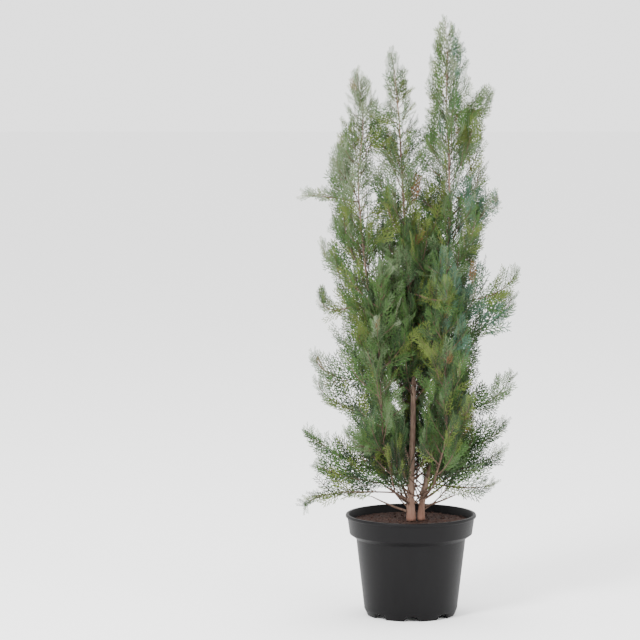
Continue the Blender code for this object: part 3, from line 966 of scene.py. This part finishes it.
@dataclass
class Foliage:
    """The branches that fill the masses, and the sprays that they carry.

    Each Span is the least and the greatest of a number that is drawn, with slopes and
    leans in degrees. `blue_from` is the least X and the least share of the height.
    """

    stems: Stems
    seed: int = 7
    foot: float = 0.25
    height: float = 0.93
    radius: float = 0.16
    high_zone: float = 0.62
    twig_radius: float = 0.0005
    branch_sides: int = 5
    fewest_points: int = 4
    unevenness: Span = (0.7, 1.3)
    # How a branch walks out
    march: float = 0.006
    drift: Span = (-0.9, 0.9)
    curl: float = 0.03
    upturn: Span = (0.015, 0.05)
    steepest: float = math.radians(80)
    first_steps: int = 2
    # Branches all round the stems
    first_branch: float = 0.262
    top_margin: float = 0.012
    branch_spacing: float = 0.0052
    branch_radius: float = 0.0016
    branch_thinning: float = 0.0009
    branch_rise: Span = (22, 50)
    longest_branch: float = 0.150
    branch_reach: Span = (0.7, 1.0)
    # Branches from the stems' feet
    low_branches: int = 34
    low_foot: float = 0.206
    low_span: float = 0.075
    low_rise: Span = (12, 40)
    low_reach: Span = (0.12, 0.19)
    low_fewest_points: int = 7
    low_patience: int = 16
    low_bare: float = 0.28
    back_from: float = 0.4
    # The two front columns
    front_tops: tuple[tuple[str, float], ...] = (("front_left", 0.690), ("front_right", 0.720))
    front_steps: int = 23
    front_sway: float = 0.004
    front_lean: float = 0.02
    front_margin: float = 0.01
    front_spacing: float = 0.0125
    front_rise: Span = (25, 52)
    front_reach: float = 0.085
    front_radius: float = 0.0013
    spine_radii: tuple[float, float] = (0.0018, 0.0006)
    # Plumes and the leaders' tips
    plume_steps: int = 16
    plume_radius: float = 0.0017
    plume_gap: float = 0.0056
    plume_lush: float = 1.15
    tip_start: float = 0.86
    tip_steps: int = 10
    tip_radius: float = 0.0009
    # How a branch carries sprays
    shortest_dressed: float = 0.012
    shortest_bare: float = 0.05
    spread: float = 0.45
    tilt: float = 0.55
    lean: Span = (22, 42)
    lift: Span = (0.20, 0.60)
    foot_size: float = 0.98
    size_fall: float = 0.30
    size_span: Span = (0.62, 1.05)
    end_size: Span = (0.62, 0.85)
    end_back: float = 0.022
    end_back_share: float = 0.4
    reach_share: float = 0.82
    draw_in: float = 0.86
    smallest_spray: float = 0.3
    nearness: float = 0.007
    # How tints are dealt: paler high up and outside, partly own grey and partly painted highlight,
    # darker within as painted shade
    pale_and_lit_by_height: float = 0.66
    pale_and_lit_by_reach: float = 0.30
    pale_by_patch: float = 0.40
    pale_chance: Span = (-0.26, 0.26)
    patch_scale: float = 14.0
    brown_share: float = 0.006
    blue_share: float = 0.5
    blue_from: tuple[float, float] = (0.05, 0.3)
    blue_patch: float = 0.05
    olive_share: float = 0.4
    olive_patch: float = -0.12
    branches: list[Branch] = field(default_factory=list)
    sprays: list[Spray] = field(default_factory=list)
    rng: random.Random = field(init=False)
    masses: list[str] = field(init=False)
    space: FoliageSpace = field(init=False)

    def grow(self) -> None:
        """Grow every branch and deal out its sprays."""
        self.rng = random.Random(self.seed)
        self.masses = [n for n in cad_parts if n.startswith(("foliage", "plume"))]
        self.space = FoliageSpace(self.masses)
        self._grow_side_branches()
        self._grow_low_branches()
        self._grow_columns_without_stem()
        self._grow_plumes()
        self._grow_tips()
        for branch in self.branches:
            self._dress(branch)
        log.info("%d branches, %d sprays", len(self.branches), len(self.sprays))

    def _zone(self, column: str, height: float) -> str:
        """Name the piece that foliage belongs to.

        Args:
            column: The column of masses that it is in.
            height: Its height.

        Returns:
            The zone's name, which the two side columns have high and low.
        """
        if column in ("left", "right"):
            return f"{column}_{'high' if height > self.high_zone else 'low'}"
        return column

    def _march(
        self, start: Vector, heading: Vector, rise: float, longest: float, patience: int = 2
    ) -> list[Vector]:
        """Walk out from a stem, turning up, until the masses end.

        Args:
            start: Where the branch leaves its stem.
            heading: Its level direction.
            rise: Its slope at the start, in radians.
            longest: Its greatest length.
            patience: How many steps it may take outside the masses.

        Returns:
            The points of the branch, to the last one in a mass.
        """
        points = [start.copy()]
        kept = 1
        slope = rise
        drift = self.rng.uniform(*self.drift)
        outside = 0
        for k in range(int(longest / self.march)):
            slope = min(self.steepest, slope + self.rng.uniform(*self.upturn))
            turned = Matrix.Rotation(drift * self.curl * k, 4, "Z") @ heading
            step = turned * math.cos(slope) + UP * math.sin(slope)
            points.append(points[-1] + step * self.march)
            if self.space.holds(points[-1]):
                kept = len(points)
                outside = 0
            elif k > self.first_steps:
                outside += 1
                if outside > patience:
                    break
        return points[:kept]

    def _grow_side_branches(self) -> None:
        """Grow branches all round each stem, as a spiral up it."""
        for node, column in COLUMN_OF.items():
            line = self.stems.lines[node]
            low, high = max(line.centres[0].z, self.first_branch), line.centres[-1].z
            turn = self.rng.uniform(0, FULL_TURN)
            height = low
            while height < high - self.top_margin:
                share = (height - low) / (high - low)
                turn += GOLDEN_TURN
                start = line.at_height(height)
                rise = math.radians(self.rng.uniform(*self.branch_rise))
                longest = self.longest_branch * self.rng.uniform(*self.branch_reach)
                points = self._march(start, level_heading(turn), rise, longest)
                if len(points) >= self.fewest_points:
                    zone = self._zone(column, height)
                    radius = self.branch_radius - self.branch_thinning * share
                    self.branches.append(Branch(points, radius, self.twig_radius, zone))
                height += self.branch_spacing * self.rng.uniform(*self.unevenness)

    def _grow_low_branches(self) -> None:
        """Grow branches from the stems' feet, bare at first, up into the lowest masses."""
        turn = self.rng.uniform(0, FULL_TURN)
        for k in range(self.low_branches):
            turn += GOLDEN_TURN
            heading = level_heading(turn)
            height = self.low_foot + self.low_span * k / self.low_branches
            start = self.stems.lines["trunk" if k % 2 else "right_leader"].at_height(height)
            rise = math.radians(self.rng.uniform(*self.low_rise))
            longest = self.rng.uniform(*self.low_reach)
            points = self._march(start, heading, rise, longest, self.low_patience)
            if len(points) >= self.low_fewest_points:
                column = "left" if heading.x < 0 else "right"
                if heading.y > self.back_from:
                    column = "back"
                zone = self._zone(column, height)
                radius = self.branch_radius
                self.branches.append(
                    Branch(points, radius, self.twig_radius, zone, bare=self.low_bare)
                )

    def _grow_columns_without_stem(self) -> None:
        """Grow upright branches in the two front masses, which hang on the front boughs."""
        for column, top in self.front_tops:
            boxes = [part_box(n) for n in self.masses if n.startswith("foliage_" + column)]
            low = Vector([min(b[0][k] for b in boxes) for k in range(3)])
            high = Vector([max(b[1][k] for b in boxes) for k in range(3)])
            centre = (low + high) / 2
            foot = self.stems.lines["bough_" + column].at(0.75)
            spine = []
            for k in range(self.front_steps + 1):
                share = k / self.front_steps
                settled = min(1.0, share * 4)
                sway = self.front_sway * math.sin(7 * share)
                x = foot.x + (centre.x - foot.x) * settled + sway
                y = foot.y + (centre.y - foot.y) * settled + self.front_lean * share
                spine.append(Vector((x, y, foot.z + (top - foot.z) * share)))
            self.branches.append(Branch(spine, *self.spine_radii, column))
            turn = self.rng.uniform(0, FULL_TURN)
            height = spine[0].z + self.front_margin
            while height < spine[-1].z - self.front_margin:
                share = (height - spine[0].z) / (spine[-1].z - spine[0].z)
                i, part = step_at(share, len(spine))
                start = spine[i].lerp(spine[i + 1], part)
                turn += GOLDEN_TURN
                rise = math.radians(self.rng.uniform(*self.front_rise))
                points = self._march(start, level_heading(turn), rise, self.front_reach)
                if len(points) >= self.fewest_points:
                    branch = Branch(points, self.front_radius, self.twig_radius, column)
                    self.branches.append(branch)
                height += self.front_spacing * self.rng.uniform(*self.unevenness)

    def _grow_plumes(self) -> None:
        """Grow a branch through each plume, from its stem to short of its tip."""
        for node in self.masses:
            if not node.startswith("plume"):
                continue
            points = np.array([v.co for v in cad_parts[node].data.vertices])
            reach = np.hypot(points[:, 0], points[:, 1])
            tip = Vector(points[reach.argmax()])
            stem = self._nearest_stem(Vector(points[reach.argmin()]))
            control = Vector(points.mean(axis=0)) * 2 - (stem + tip) / 2
            line = [stem]
            for k in range(1, self.plume_steps):
                t = k / self.plume_steps
                line.append(stem * (1 - t) ** 2 + control * (2 * t * (1 - t)) + tip * t * t)
            column = self._column_of(node, tip.x)
            self.branches.append(
                Branch(
                    line,
                    self.plume_radius,
                    self.twig_radius,
                    self._zone(column, tip.z),
                    gap=self.plume_gap,
                    lush=self.plume_lush,
                )
            )

    def _nearest_stem(self, near: Vector) -> Vector:
        """Find where a plume grows from.

        Args:
            near: The plume's point nearest to the pot's axis.

        Returns:
            The nearest point of a stem that isn't above it.
        """
        centres = [
            centre
            for node in self.stems.stems
            for centre in self.stems.lines[node].centres
            if centre.z <= near.z + 0.01
        ]
        return min(centres, key=lambda c: (c - near).length, default=near).copy()

    def _grow_tips(self) -> None:
        """Make branches of the leaders' own tips, so that they carry sprays too."""
        for node in ("trunk", "left_leader", "right_leader", "back_leader"):
            line = self.stems.lines[node]
            points = [
                line.at(self.tip_start + (1 - self.tip_start) * k / self.tip_steps)
                for k in range(self.tip_steps + 1)
            ]
            zone = self._zone(COLUMN_OF[node], points[-1].z)
            self.branches.append(Branch(points, self.tip_radius, self.twig_radius, zone))

    def _dress(self, branch: Branch) -> None:
        """Set sprays along both sides of a branch and one at its tip.

        Args:
            branch: The branch, which stays bare if it is very short.
        """
        rng = self.rng
        length = branch.length()
        if length < self.shortest_dressed:
            return
        count = max(2, int(length / branch.gap))
        first = branch.bare if length > self.shortest_bare else 0.0
        for k in range(count):
            share = first + (1 - first) * (k + 0.5) / count
            place, ahead = branch.at(share)
            side = 1 if k % 2 else -1
            level, over = frame_across(ahead)
            roll = rng.gauss(0.0, self.spread)
            across = (over * math.cos(roll) + level * math.sin(roll)) * side
            lean = math.radians(rng.uniform(*self.lean))
            out = (ahead * math.cos(lean) + across * math.sin(lean)).normalized()
            out = (out + UP * rng.uniform(*self.lift)).normalized()
            size = (self.foot_size - self.size_fall * share) * rng.uniform(*self.size_span)
            self._add_spray(branch.zone, place, out, size * branch.lush)
        place, ahead = branch.at(1.0)
        back = min(self.end_back, length * self.end_back_share)
        size = rng.uniform(*self.end_size)
        self._add_spray(branch.zone, place - ahead * back, ahead, size)

    def _add_spray(self, zone: str, place: Vector, out: Vector, size: float) -> None:
        """Add a spray, drawn in where it would reach far past the masses.

        Args:
            zone: The piece it belongs to.
            place: Its foot.
            out: The direction that it grows in.
            size: Its size, 1 for the rule's own.
        """
        rng = self.rng
        full = SPRAY.length
        while size > self.smallest_spray:
            if self._near_mass(place + out * (full * size * self.reach_share)):
                break
            size *= self.draw_in
        side = out.cross(UP)
        if side.length < 1e-3:
            side = Vector((1.0, 0.0, 0.0))
        side.normalize()
        face = Quaternion(out, rng.gauss(0.0, self.tilt)) @ side
        across = face.cross(out).normalized()
        basis = Matrix((across, out.cross(across).normalized(), out)).transposed()
        tint = self._tint(place + out * (full * size * 0.5))
        kind = rng.randrange(SPRAY.kinds)
        self.sprays.append(Spray(place, basis.to_euler(), size, kind, tint, zone))

    def _near_mass(self, point: Vector) -> bool:
        """Whether a point is in a mass or close beside or above one.

        Args:
            point: The point.

        Returns:
            Whether it or one of five points near it is in a mass.
        """
        ways = ((0, 0, 0), (1, 0, 0), (-1, 0, 0), (0, 1, 0), (0, -1, 0), (0, 0, -1))
        return any(self.space.holds(point + Vector(way) * self.nearness) for way in ways)

    def _tint(self, point: Vector) -> int:
        """Deal a spray its tint: paler and greyer high up and outside, partly the outer shoots'
        own grey-green and partly painted highlight, and darker within and lower down as painted
        shade.

        Args:
            point: The spray's middle.

        Returns:
            The tint's number.
        """
        rng = self.rng
        height = (point.z - self.foot) / self.height
        out = min(1.0, math.hypot(point.x * 0.9, point.y * 1.1) / self.radius)
        patch = noise.noise(point * self.patch_scale)
        # Paleness from height and reach is partly the shoots' own grey and partly painted light:
        # low values give painted shade greens
        pale = self.pale_and_lit_by_height * height + self.pale_and_lit_by_reach * out
        pale += self.pale_by_patch * patch + rng.uniform(*self.pale_chance)
        least_x, least_height = self.blue_from
        blue = point.x > least_x and height > least_height and patch > self.blue_patch
        if rng.random() < self.brown_share:
            choice = Tint.BROWN
        elif blue and rng.random() < self.blue_share:
            choice = Tint.BLUE_GREEN
        elif patch < self.olive_patch and rng.random() < self.olive_share:
            choice = Tint.OLIVE
        else:
            choice = next((tint for least, tint in PALENESS_AND_PAINTED_LIGHT if pale > least), Tint.DEEP_SHADE_GREEN)
        return TINTS.index(choice)

    def build(self) -> None:
        """Make the leaves of each zone, the sprays' axes and the branches."""
        leaf_kinds = bpy.data.collections.new("leaf kinds")
        wood_kinds = bpy.data.collections.new("wood kinds")
        for kind in range(SPRAY.kinds):
            leaves, wood = SPRAY.build(kind)
            leaf_kinds.objects.link(leaves)
            wood_kinds.objects.link(wood)
        twig = TWIG.material()
        leaf_spreader = SpraySpreader("spread leaves", [LeafFinish(t).material() for t in TINTS])
        wood_spreader = SpraySpreader("spread twigs", [twig])
        for zone in sorted({s.zone for s in self.sprays}):
            sprays = [s for s in self.sprays if s.zone == zone]
            leaves = leaf_spreader.spread("leaves_" + zone, sprays, leaf_kinds)
            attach(leaves, "root")
            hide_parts(*self._nodes_of(zone))
            count = len(leaves.data.polygons)
            log.info("%s: %d sprays, %d triangles", leaves.name, len(sprays), count)
        axes = wood_spreader.spread("spray_axes", self.sprays, wood_kinds)
        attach(axes, "root")
        log.info("%s: %d faces", axes.name, len(axes.data.polygons))
        self._build_branches(twig)

    def _build_branches(self, twig: bpy.types.Material) -> None:
        """Make all the branches as one piece of tapering tubes.

        Args:
            twig: Their finish.
        """
        vertices: list[Vector] = []
        faces: list[Face] = []
        for branch in self.branches:
            last = len(branch.points) - 1
            taper = branch.tip_radius - branch.foot_radius
            radii = [branch.foot_radius + taper * k / last for k in range(last + 1)]
            add_tube(vertices, faces, branch.points, radii, self.branch_sides)
        wood = new_piece("branches", mesh_from_arrays("branches", vertices, faces, smooth=True))
        wood.data.materials.append(twig)
        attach(wood, "root")
        log.info("%s: %d faces", wood.name, len(faces))

    def _column_of(self, node: str, across: float) -> str:
        """Name the column that a mass belongs to.

        Args:
            node: The mass's node.
            across: Where it is along X, which says the front column.

        Returns:
            The column's name.
        """
        column = node.split("_")[1]
        if column == "front":
            column += "_right" if across > 0 else "_left"
        return column

    def _nodes_of(self, zone: str) -> list[str]:
        """List the masses that a zone's leaves stand for.

        Args:
            zone: The zone.

        Returns:
            Their nodes.
        """
        nodes = []
        for node in self.masses:
            low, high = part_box(node)
            column = self._column_of(node, low[0] + high[0])
            height = high[2] if node.startswith("plume") else (low[2] + high[2]) / 2
            if self._zone(column, height) == zone:
                nodes.append(node)
        return nodes


# Pot and soil


@dataclass
class Pot:
    """The moulded pot: a lip, a banded rim, a tapering body and a notched foot ring."""

    segments: int = 144
    height: float = 0.202
    lip_radius: float = 0.130
    lip_height: float = 0.006
    lip_inner_radius: float = 0.1240
    band_top_radius: float = 0.1264
    band_foot_radius: float = 0.1219
    band_foot_height: float = 0.1629
    body_top_radius: float = 0.1089
    body_top_height: float = 0.1538
    body_foot_radius: float = 0.0926
    chamfer_height: float = 0.013
    base_radius: float = 0.087
    wall: float = 0.002
    floor_height: float = 0.0105
    stand_radius: float = 0.038
    foot_ring_width: float = 0.0025
    notches: int = 8
    notch_height: float = 0.010
    notch_roof: float = 0.017
    notch_mouth: float = 0.030
    edge: float = 0.0012
    edge_steps: int = 3
    hub_share: float = 0.3
    stand_slope: float = 0.006
    ring_top: float = 0.0103
    wall_foot: float = 0.0106
    lip_draft: float = 0.0004
    lip_drop: float = 0.001
    crease: float = math.radians(38)

    def build(self) -> None:
        """Make the pot in place of its model node."""
        profile = self._outer_profile() + self._inner_profile()
        vertices: list[Vector] = []
        faces: list[Face] = []
        for radius, z, lifts in profile:
            for i in range(self.segments):
                a = FULL_TURN * i / self.segments - math.pi / 2
                lift = self._notch(a, radius) if lifts else 0.0
                vertices.append(Vector((radius * math.cos(a), radius * math.sin(a), max(z, lift))))
        for k in range(len(profile) - 1):
            for i in range(self.segments):
                j = (i + 1) % self.segments
                low, high = k * self.segments, (k + 1) * self.segments
                faces.append((low + i, low + j, high + j, high + i))
        faces.append(tuple(reversed(range(self.segments))))
        last = (len(profile) - 1) * self.segments
        faces.append(tuple(last + i for i in range(self.segments)))
        mesh = mesh_from_arrays("pot_shell", vertices, faces, smooth=True)
        mesh.set_sharp_from_angle(angle=self.crease)
        pot = new_piece("pot_shell", mesh)
        mesh.materials.append(PLASTIC.material())
        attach(pot, "root")
        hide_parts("pot")
        log.info("pot_shell: %d faces", len(faces))

    def _notch(self, angle: float, radius: float) -> float:
        """How high the foot ring is cut away.

        Args:
            angle: The place's angle round the pot.
            radius: Its distance from the axis.

        Returns:
            The height of the cut, nothing between the notches.
        """
        pitch = FULL_TURN / self.notches
        off = abs((angle + math.pi / 2 + pitch / 2) % pitch - pitch / 2) * radius
        roof, mouth = self.notch_roof / 2, self.notch_mouth / 2
        if off >= mouth:
            return 0.0
        return self.notch_height * min(1.0, (mouth - off) / (mouth - roof))

    def _corner(self, before: Vector, corner: Vector, after: Vector) -> Profile:
        """Round a corner of the profile.

        Args:
            before: The corner before it.
            corner: The corner itself.
            after: The corner after it.

        Returns:
            The points that take its place.
        """
        to_before, to_after = before - corner, after - corner
        reach = min(self.edge, to_before.length * 0.45, to_after.length * 0.45)
        a = corner + to_before.normalized() * reach
        b = corner + to_after.normalized() * reach
        points = []
        for k in range(self.edge_steps + 1):
            t = k / self.edge_steps
            p = a * (1 - t) ** 2 + corner * (2 * t * (1 - t)) + b * t * t
            points.append((p.x, p.y, False))
        return points

    def _rounded(self, corners: list[tuple[float, float]]) -> Profile:
        """Run a profile through corners, each rounded but for the first and the last.

        Args:
            corners: The corners, as radius and height.

        Returns:
            The profile.
        """
        places = [Vector(corner) for corner in corners]
        points = [(*corners[0], False)]
        for before, corner, after in zip(places, places[1:], places[2:]):
            points += self._corner(before, corner, after)
        points.append((*corners[-1], False))
        return points

    def _outer_profile(self) -> Profile:
        """Run from the middle of the underside, out and up to the lip.

        Returns:
            The points, as radius, height and whether a notch lifts them.
        """
        under = [
            (self.stand_radius * self.hub_share, 0.0, False),
            (self.stand_radius, 0.0, False),
            (self.stand_radius + self.stand_slope, self.floor_height, False),
            (self.base_radius - self.foot_ring_width, self.floor_height, False),
            (self.base_radius - self.foot_ring_width, 0.0, True),
            (self.base_radius, 0.0, True),
        ]
        step = (self.body_foot_radius - self.base_radius) / self.chamfer_height
        over = [(self.base_radius + step * self.ring_top, self.ring_top, True)]
        lip_foot = self.height - self.lip_height
        corners = [
            (self.base_radius + step * self.wall_foot, self.wall_foot),
            (self.body_foot_radius, self.chamfer_height),
            (self.body_top_radius, self.body_top_height),
            (self.band_foot_radius, self.band_foot_height),
            (self.band_top_radius, lip_foot),
            (self.lip_radius - self.lip_draft, lip_foot),
            (self.lip_radius, self.height - self.lip_height / 2),
            (self.lip_radius - 2 * self.lip_draft, self.height),
            (self.lip_inner_radius, self.height),
        ]
        return under + over + self._rounded(corners)

    def _inner_profile(self) -> Profile:
        """Run from the lip down inside to the floor.

        Returns:
            The points, as radius, height and whether a notch lifts them.
        """
        floor = self.floor_height + self.wall
        return [
            (self.lip_inner_radius - self.lip_drop / 2, self.height - self.lip_drop, False),
            (self.band_foot_radius - self.wall, self.band_foot_height + self.wall, False),
            (self.body_top_radius - self.wall, self.body_top_height + self.wall, False),
            (self.body_foot_radius - self.wall, floor + self.wall, False),
            (self.body_foot_radius - 2 * self.wall, floor, False),
            (self.stand_radius + self.stand_slope, floor, False),
            (self.stand_radius, self.wall, False),
            (self.stand_radius * self.hub_share, self.wall, False),
        ]


@dataclass
class Soil:
    """The soil: an uneven, crumbly top, with loose crumbs and bits on it."""

    rings: int = 64
    segments: int = 190
    relief: float = 0.0022
    sink: float = 0.001
    edge_start: float = 0.9
    edge_width: float = 0.1
    edge_fall: float = 0.0015
    side_profile: tuple[tuple[float, float], ...] = (
        (0.1186, 0.1652),
        (0.1060, 0.1560),
        (0.0896, 0.0150),
    )
    crumbs: int = 520
    smallest_crumb: float = 0.0006
    crumb_span: float = 0.0024
    inset: float = 0.0005
    seed: int = 21

    def build(self) -> None:
        """Make the soil and its crumbs in place of the model node.

        Rings of points run out over the top and on down the side, inside the pot's wall.
        """
        low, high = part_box("soil")
        radius = min(high[0], high[1]) - self.inset
        top = high[2]
        vertices: list[Vector] = [Vector((0.0, 0.0, top))]
        faces: list[Face] = []
        for k in range(1, self.rings + 1):
            r = radius * k / self.rings
            for i in range(self.segments):
                a = FULL_TURN * i / self.segments
                p = Vector((r * math.cos(a), r * math.sin(a), 0.0))
                height = noise.fractal(p * 90, 0.7, 2.1, 5) * self.relief
                edge = max(0.0, (r - radius * self.edge_start) / (radius * self.edge_width))
                p.z = top - self.sink + height - edge * self.edge_fall
                vertices.append(p)
        for r, z in self.side_profile:
            for i in range(self.segments):
                a = FULL_TURN * i / self.segments
                vertices.append(Vector((r * math.cos(a), r * math.sin(a), z)))
        for i in range(self.segments):
            faces.append((0, 1 + i, 1 + (i + 1) % self.segments))
        for k in range(self.rings + len(self.side_profile) - 1):
            for i in range(self.segments):
                j = (i + 1) % self.segments
                a, b = 1 + k * self.segments, 1 + (k + 1) * self.segments
                faces.append((a + i, b + i, b + j, a + j))
        bottom = len(vertices) - self.segments
        faces.append(tuple(reversed(range(bottom, bottom + self.segments))))
        self._add_crumbs(vertices, faces, radius, top)
        mesh = mesh_from_arrays("soil_top", vertices, faces, smooth=True)
        mesh.materials.append(SOIL.material())
        soil = new_piece("soil_top", mesh)
        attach(soil, "root")
        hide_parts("soil")
        log.info("soil_top: %d faces", len(faces))

    def _add_crumbs(
        self, vertices: list[Vector], faces: list[Face], radius: float, top: float
    ) -> None:
        """Strew small uneven crumbs over the top.

        Args:
            vertices: The points so far.
            faces: The faces so far.
            radius: The soil's radius.
            top: Its height.
        """
        rng = random.Random(self.seed)
        for _ in range(self.crumbs):
            r = radius * 0.97 * math.sqrt(rng.random())
            a = rng.uniform(0, FULL_TURN)
            size = self.smallest_crumb + self.crumb_span * rng.random() ** 3
            centre = Vector((r * math.cos(a), r * math.sin(a), top - self.sink + size * 0.3))
            turn = Euler([rng.uniform(0, 3) for _ in range(3)]).to_matrix()
            n = len(vertices)
            corners = [(1, 0, 0), (-1, 0, 0), (0, 1, 0), (0, -1, 0), (0, 0, 1), (0, 0, -1)]
            for c in corners:
                stretch = rng.uniform(0.6, 1.3)
                vertices.append(centre + turn @ (Vector(c) * (size * stretch)))
            for x in (0, 1):
                for y in (2, 3):
                    for z in (4, 5):
                        face = (n + x, n + y, n + z)
                        faces.append(face if (x + y + z) % 2 == 0 else face[::-1])


# Floor, light and camera


@dataclass
class Studio:
    """A plain pale floor, soft light and the camera at the photo's angle."""

    camera_place: tuple[float, float, float] = (-0.1808, -8.0, 1.5123)
    camera_pitch: float = 6.58
    lens: float = 229.06
    sensor: float = 36.0
    floor_reach: float = 14.0
    world_strength: float = 2.3
    aim: tuple[float, float, float] = (0.0, 0.0, 0.6)
    lamps: tuple[tuple[str, tuple[float, float, float], float, float], ...] = (
        ("key light", (-2.4, -3.4, 3.4), 1.2, 380),
        ("fill light", (3.0, -3.0, 1.6), 2.2, 90),
        ("top light", (0.2, 0.6, 4.2), 1.6, 110),
    )

    def build(self) -> None:
        """Set the stage."""
        self._floor()
        self._lights()
        self._camera()

    def _floor(self) -> None:
        """Lay the floor."""
        signs = ((-1, -1), (1, -1), (1, 1), (-1, 1))
        vertices = [Vector((x, y, 0.0)) * self.floor_reach for x, y in signs]
        mesh = mesh_from_arrays("floor", vertices, [(0, 1, 2, 3)], smooth=False)
        material = bpy.data.materials.new("pale floor")
        material.use_nodes = True
        shader = material.node_tree.nodes["Principled BSDF"]
        shader.inputs["Base Color"].default_value = (0.92, 0.92, 0.92, 1.0)
        shader.inputs["Roughness"].default_value = 0.9
        mesh.materials.append(material)
        new_piece("floor", mesh)

    def _lights(self) -> None:
        """Light the scene all round, and with three soft lamps."""
        world = bpy.data.worlds.new("studio")
        world.use_nodes = True
        background = world.node_tree.nodes["Background"]
        background.inputs["Color"].default_value = (1.0, 1.0, 1.0, 1.0)
        background.inputs["Strength"].default_value = self.world_strength
        bpy.context.scene.world = world
        for name, place, size, power in self.lamps:
            light = bpy.data.lights.new(name, "AREA")
            light.size = size
            light.energy = power
            lamp = bpy.data.objects.new(name, light)
            lamp.location = place
            towards = Vector(self.aim) - Vector(place)
            lamp.rotation_euler = towards.to_track_quat("-Z", "Y").to_euler()
            bpy.context.scene.collection.objects.link(lamp)

    def _camera(self) -> None:
        """Set the camera at the photo's angle."""
        camera = bpy.data.cameras.new("camera")
        camera.lens = self.lens
        camera.sensor_width = self.sensor
        camera.clip_end = 100.0
        holder = bpy.data.objects.new("camera", camera)
        holder.location = self.camera_place
        holder.rotation_euler = (math.radians(90 - self.camera_pitch), 0.0, 0.0)
        bpy.context.scene.collection.objects.link(holder)
        bpy.context.scene.camera = holder


def main() -> None:
    """Build the plant in its pot, and the studio round it."""
    Studio().build()
    Pot().build()
    Soil().build()
    stems = Stems()
    stems.read()
    stems.build()
    foliage = Foliage(stems)
    foliage.grow()
    foliage.build()


if __name__ == "__main__":
    main()
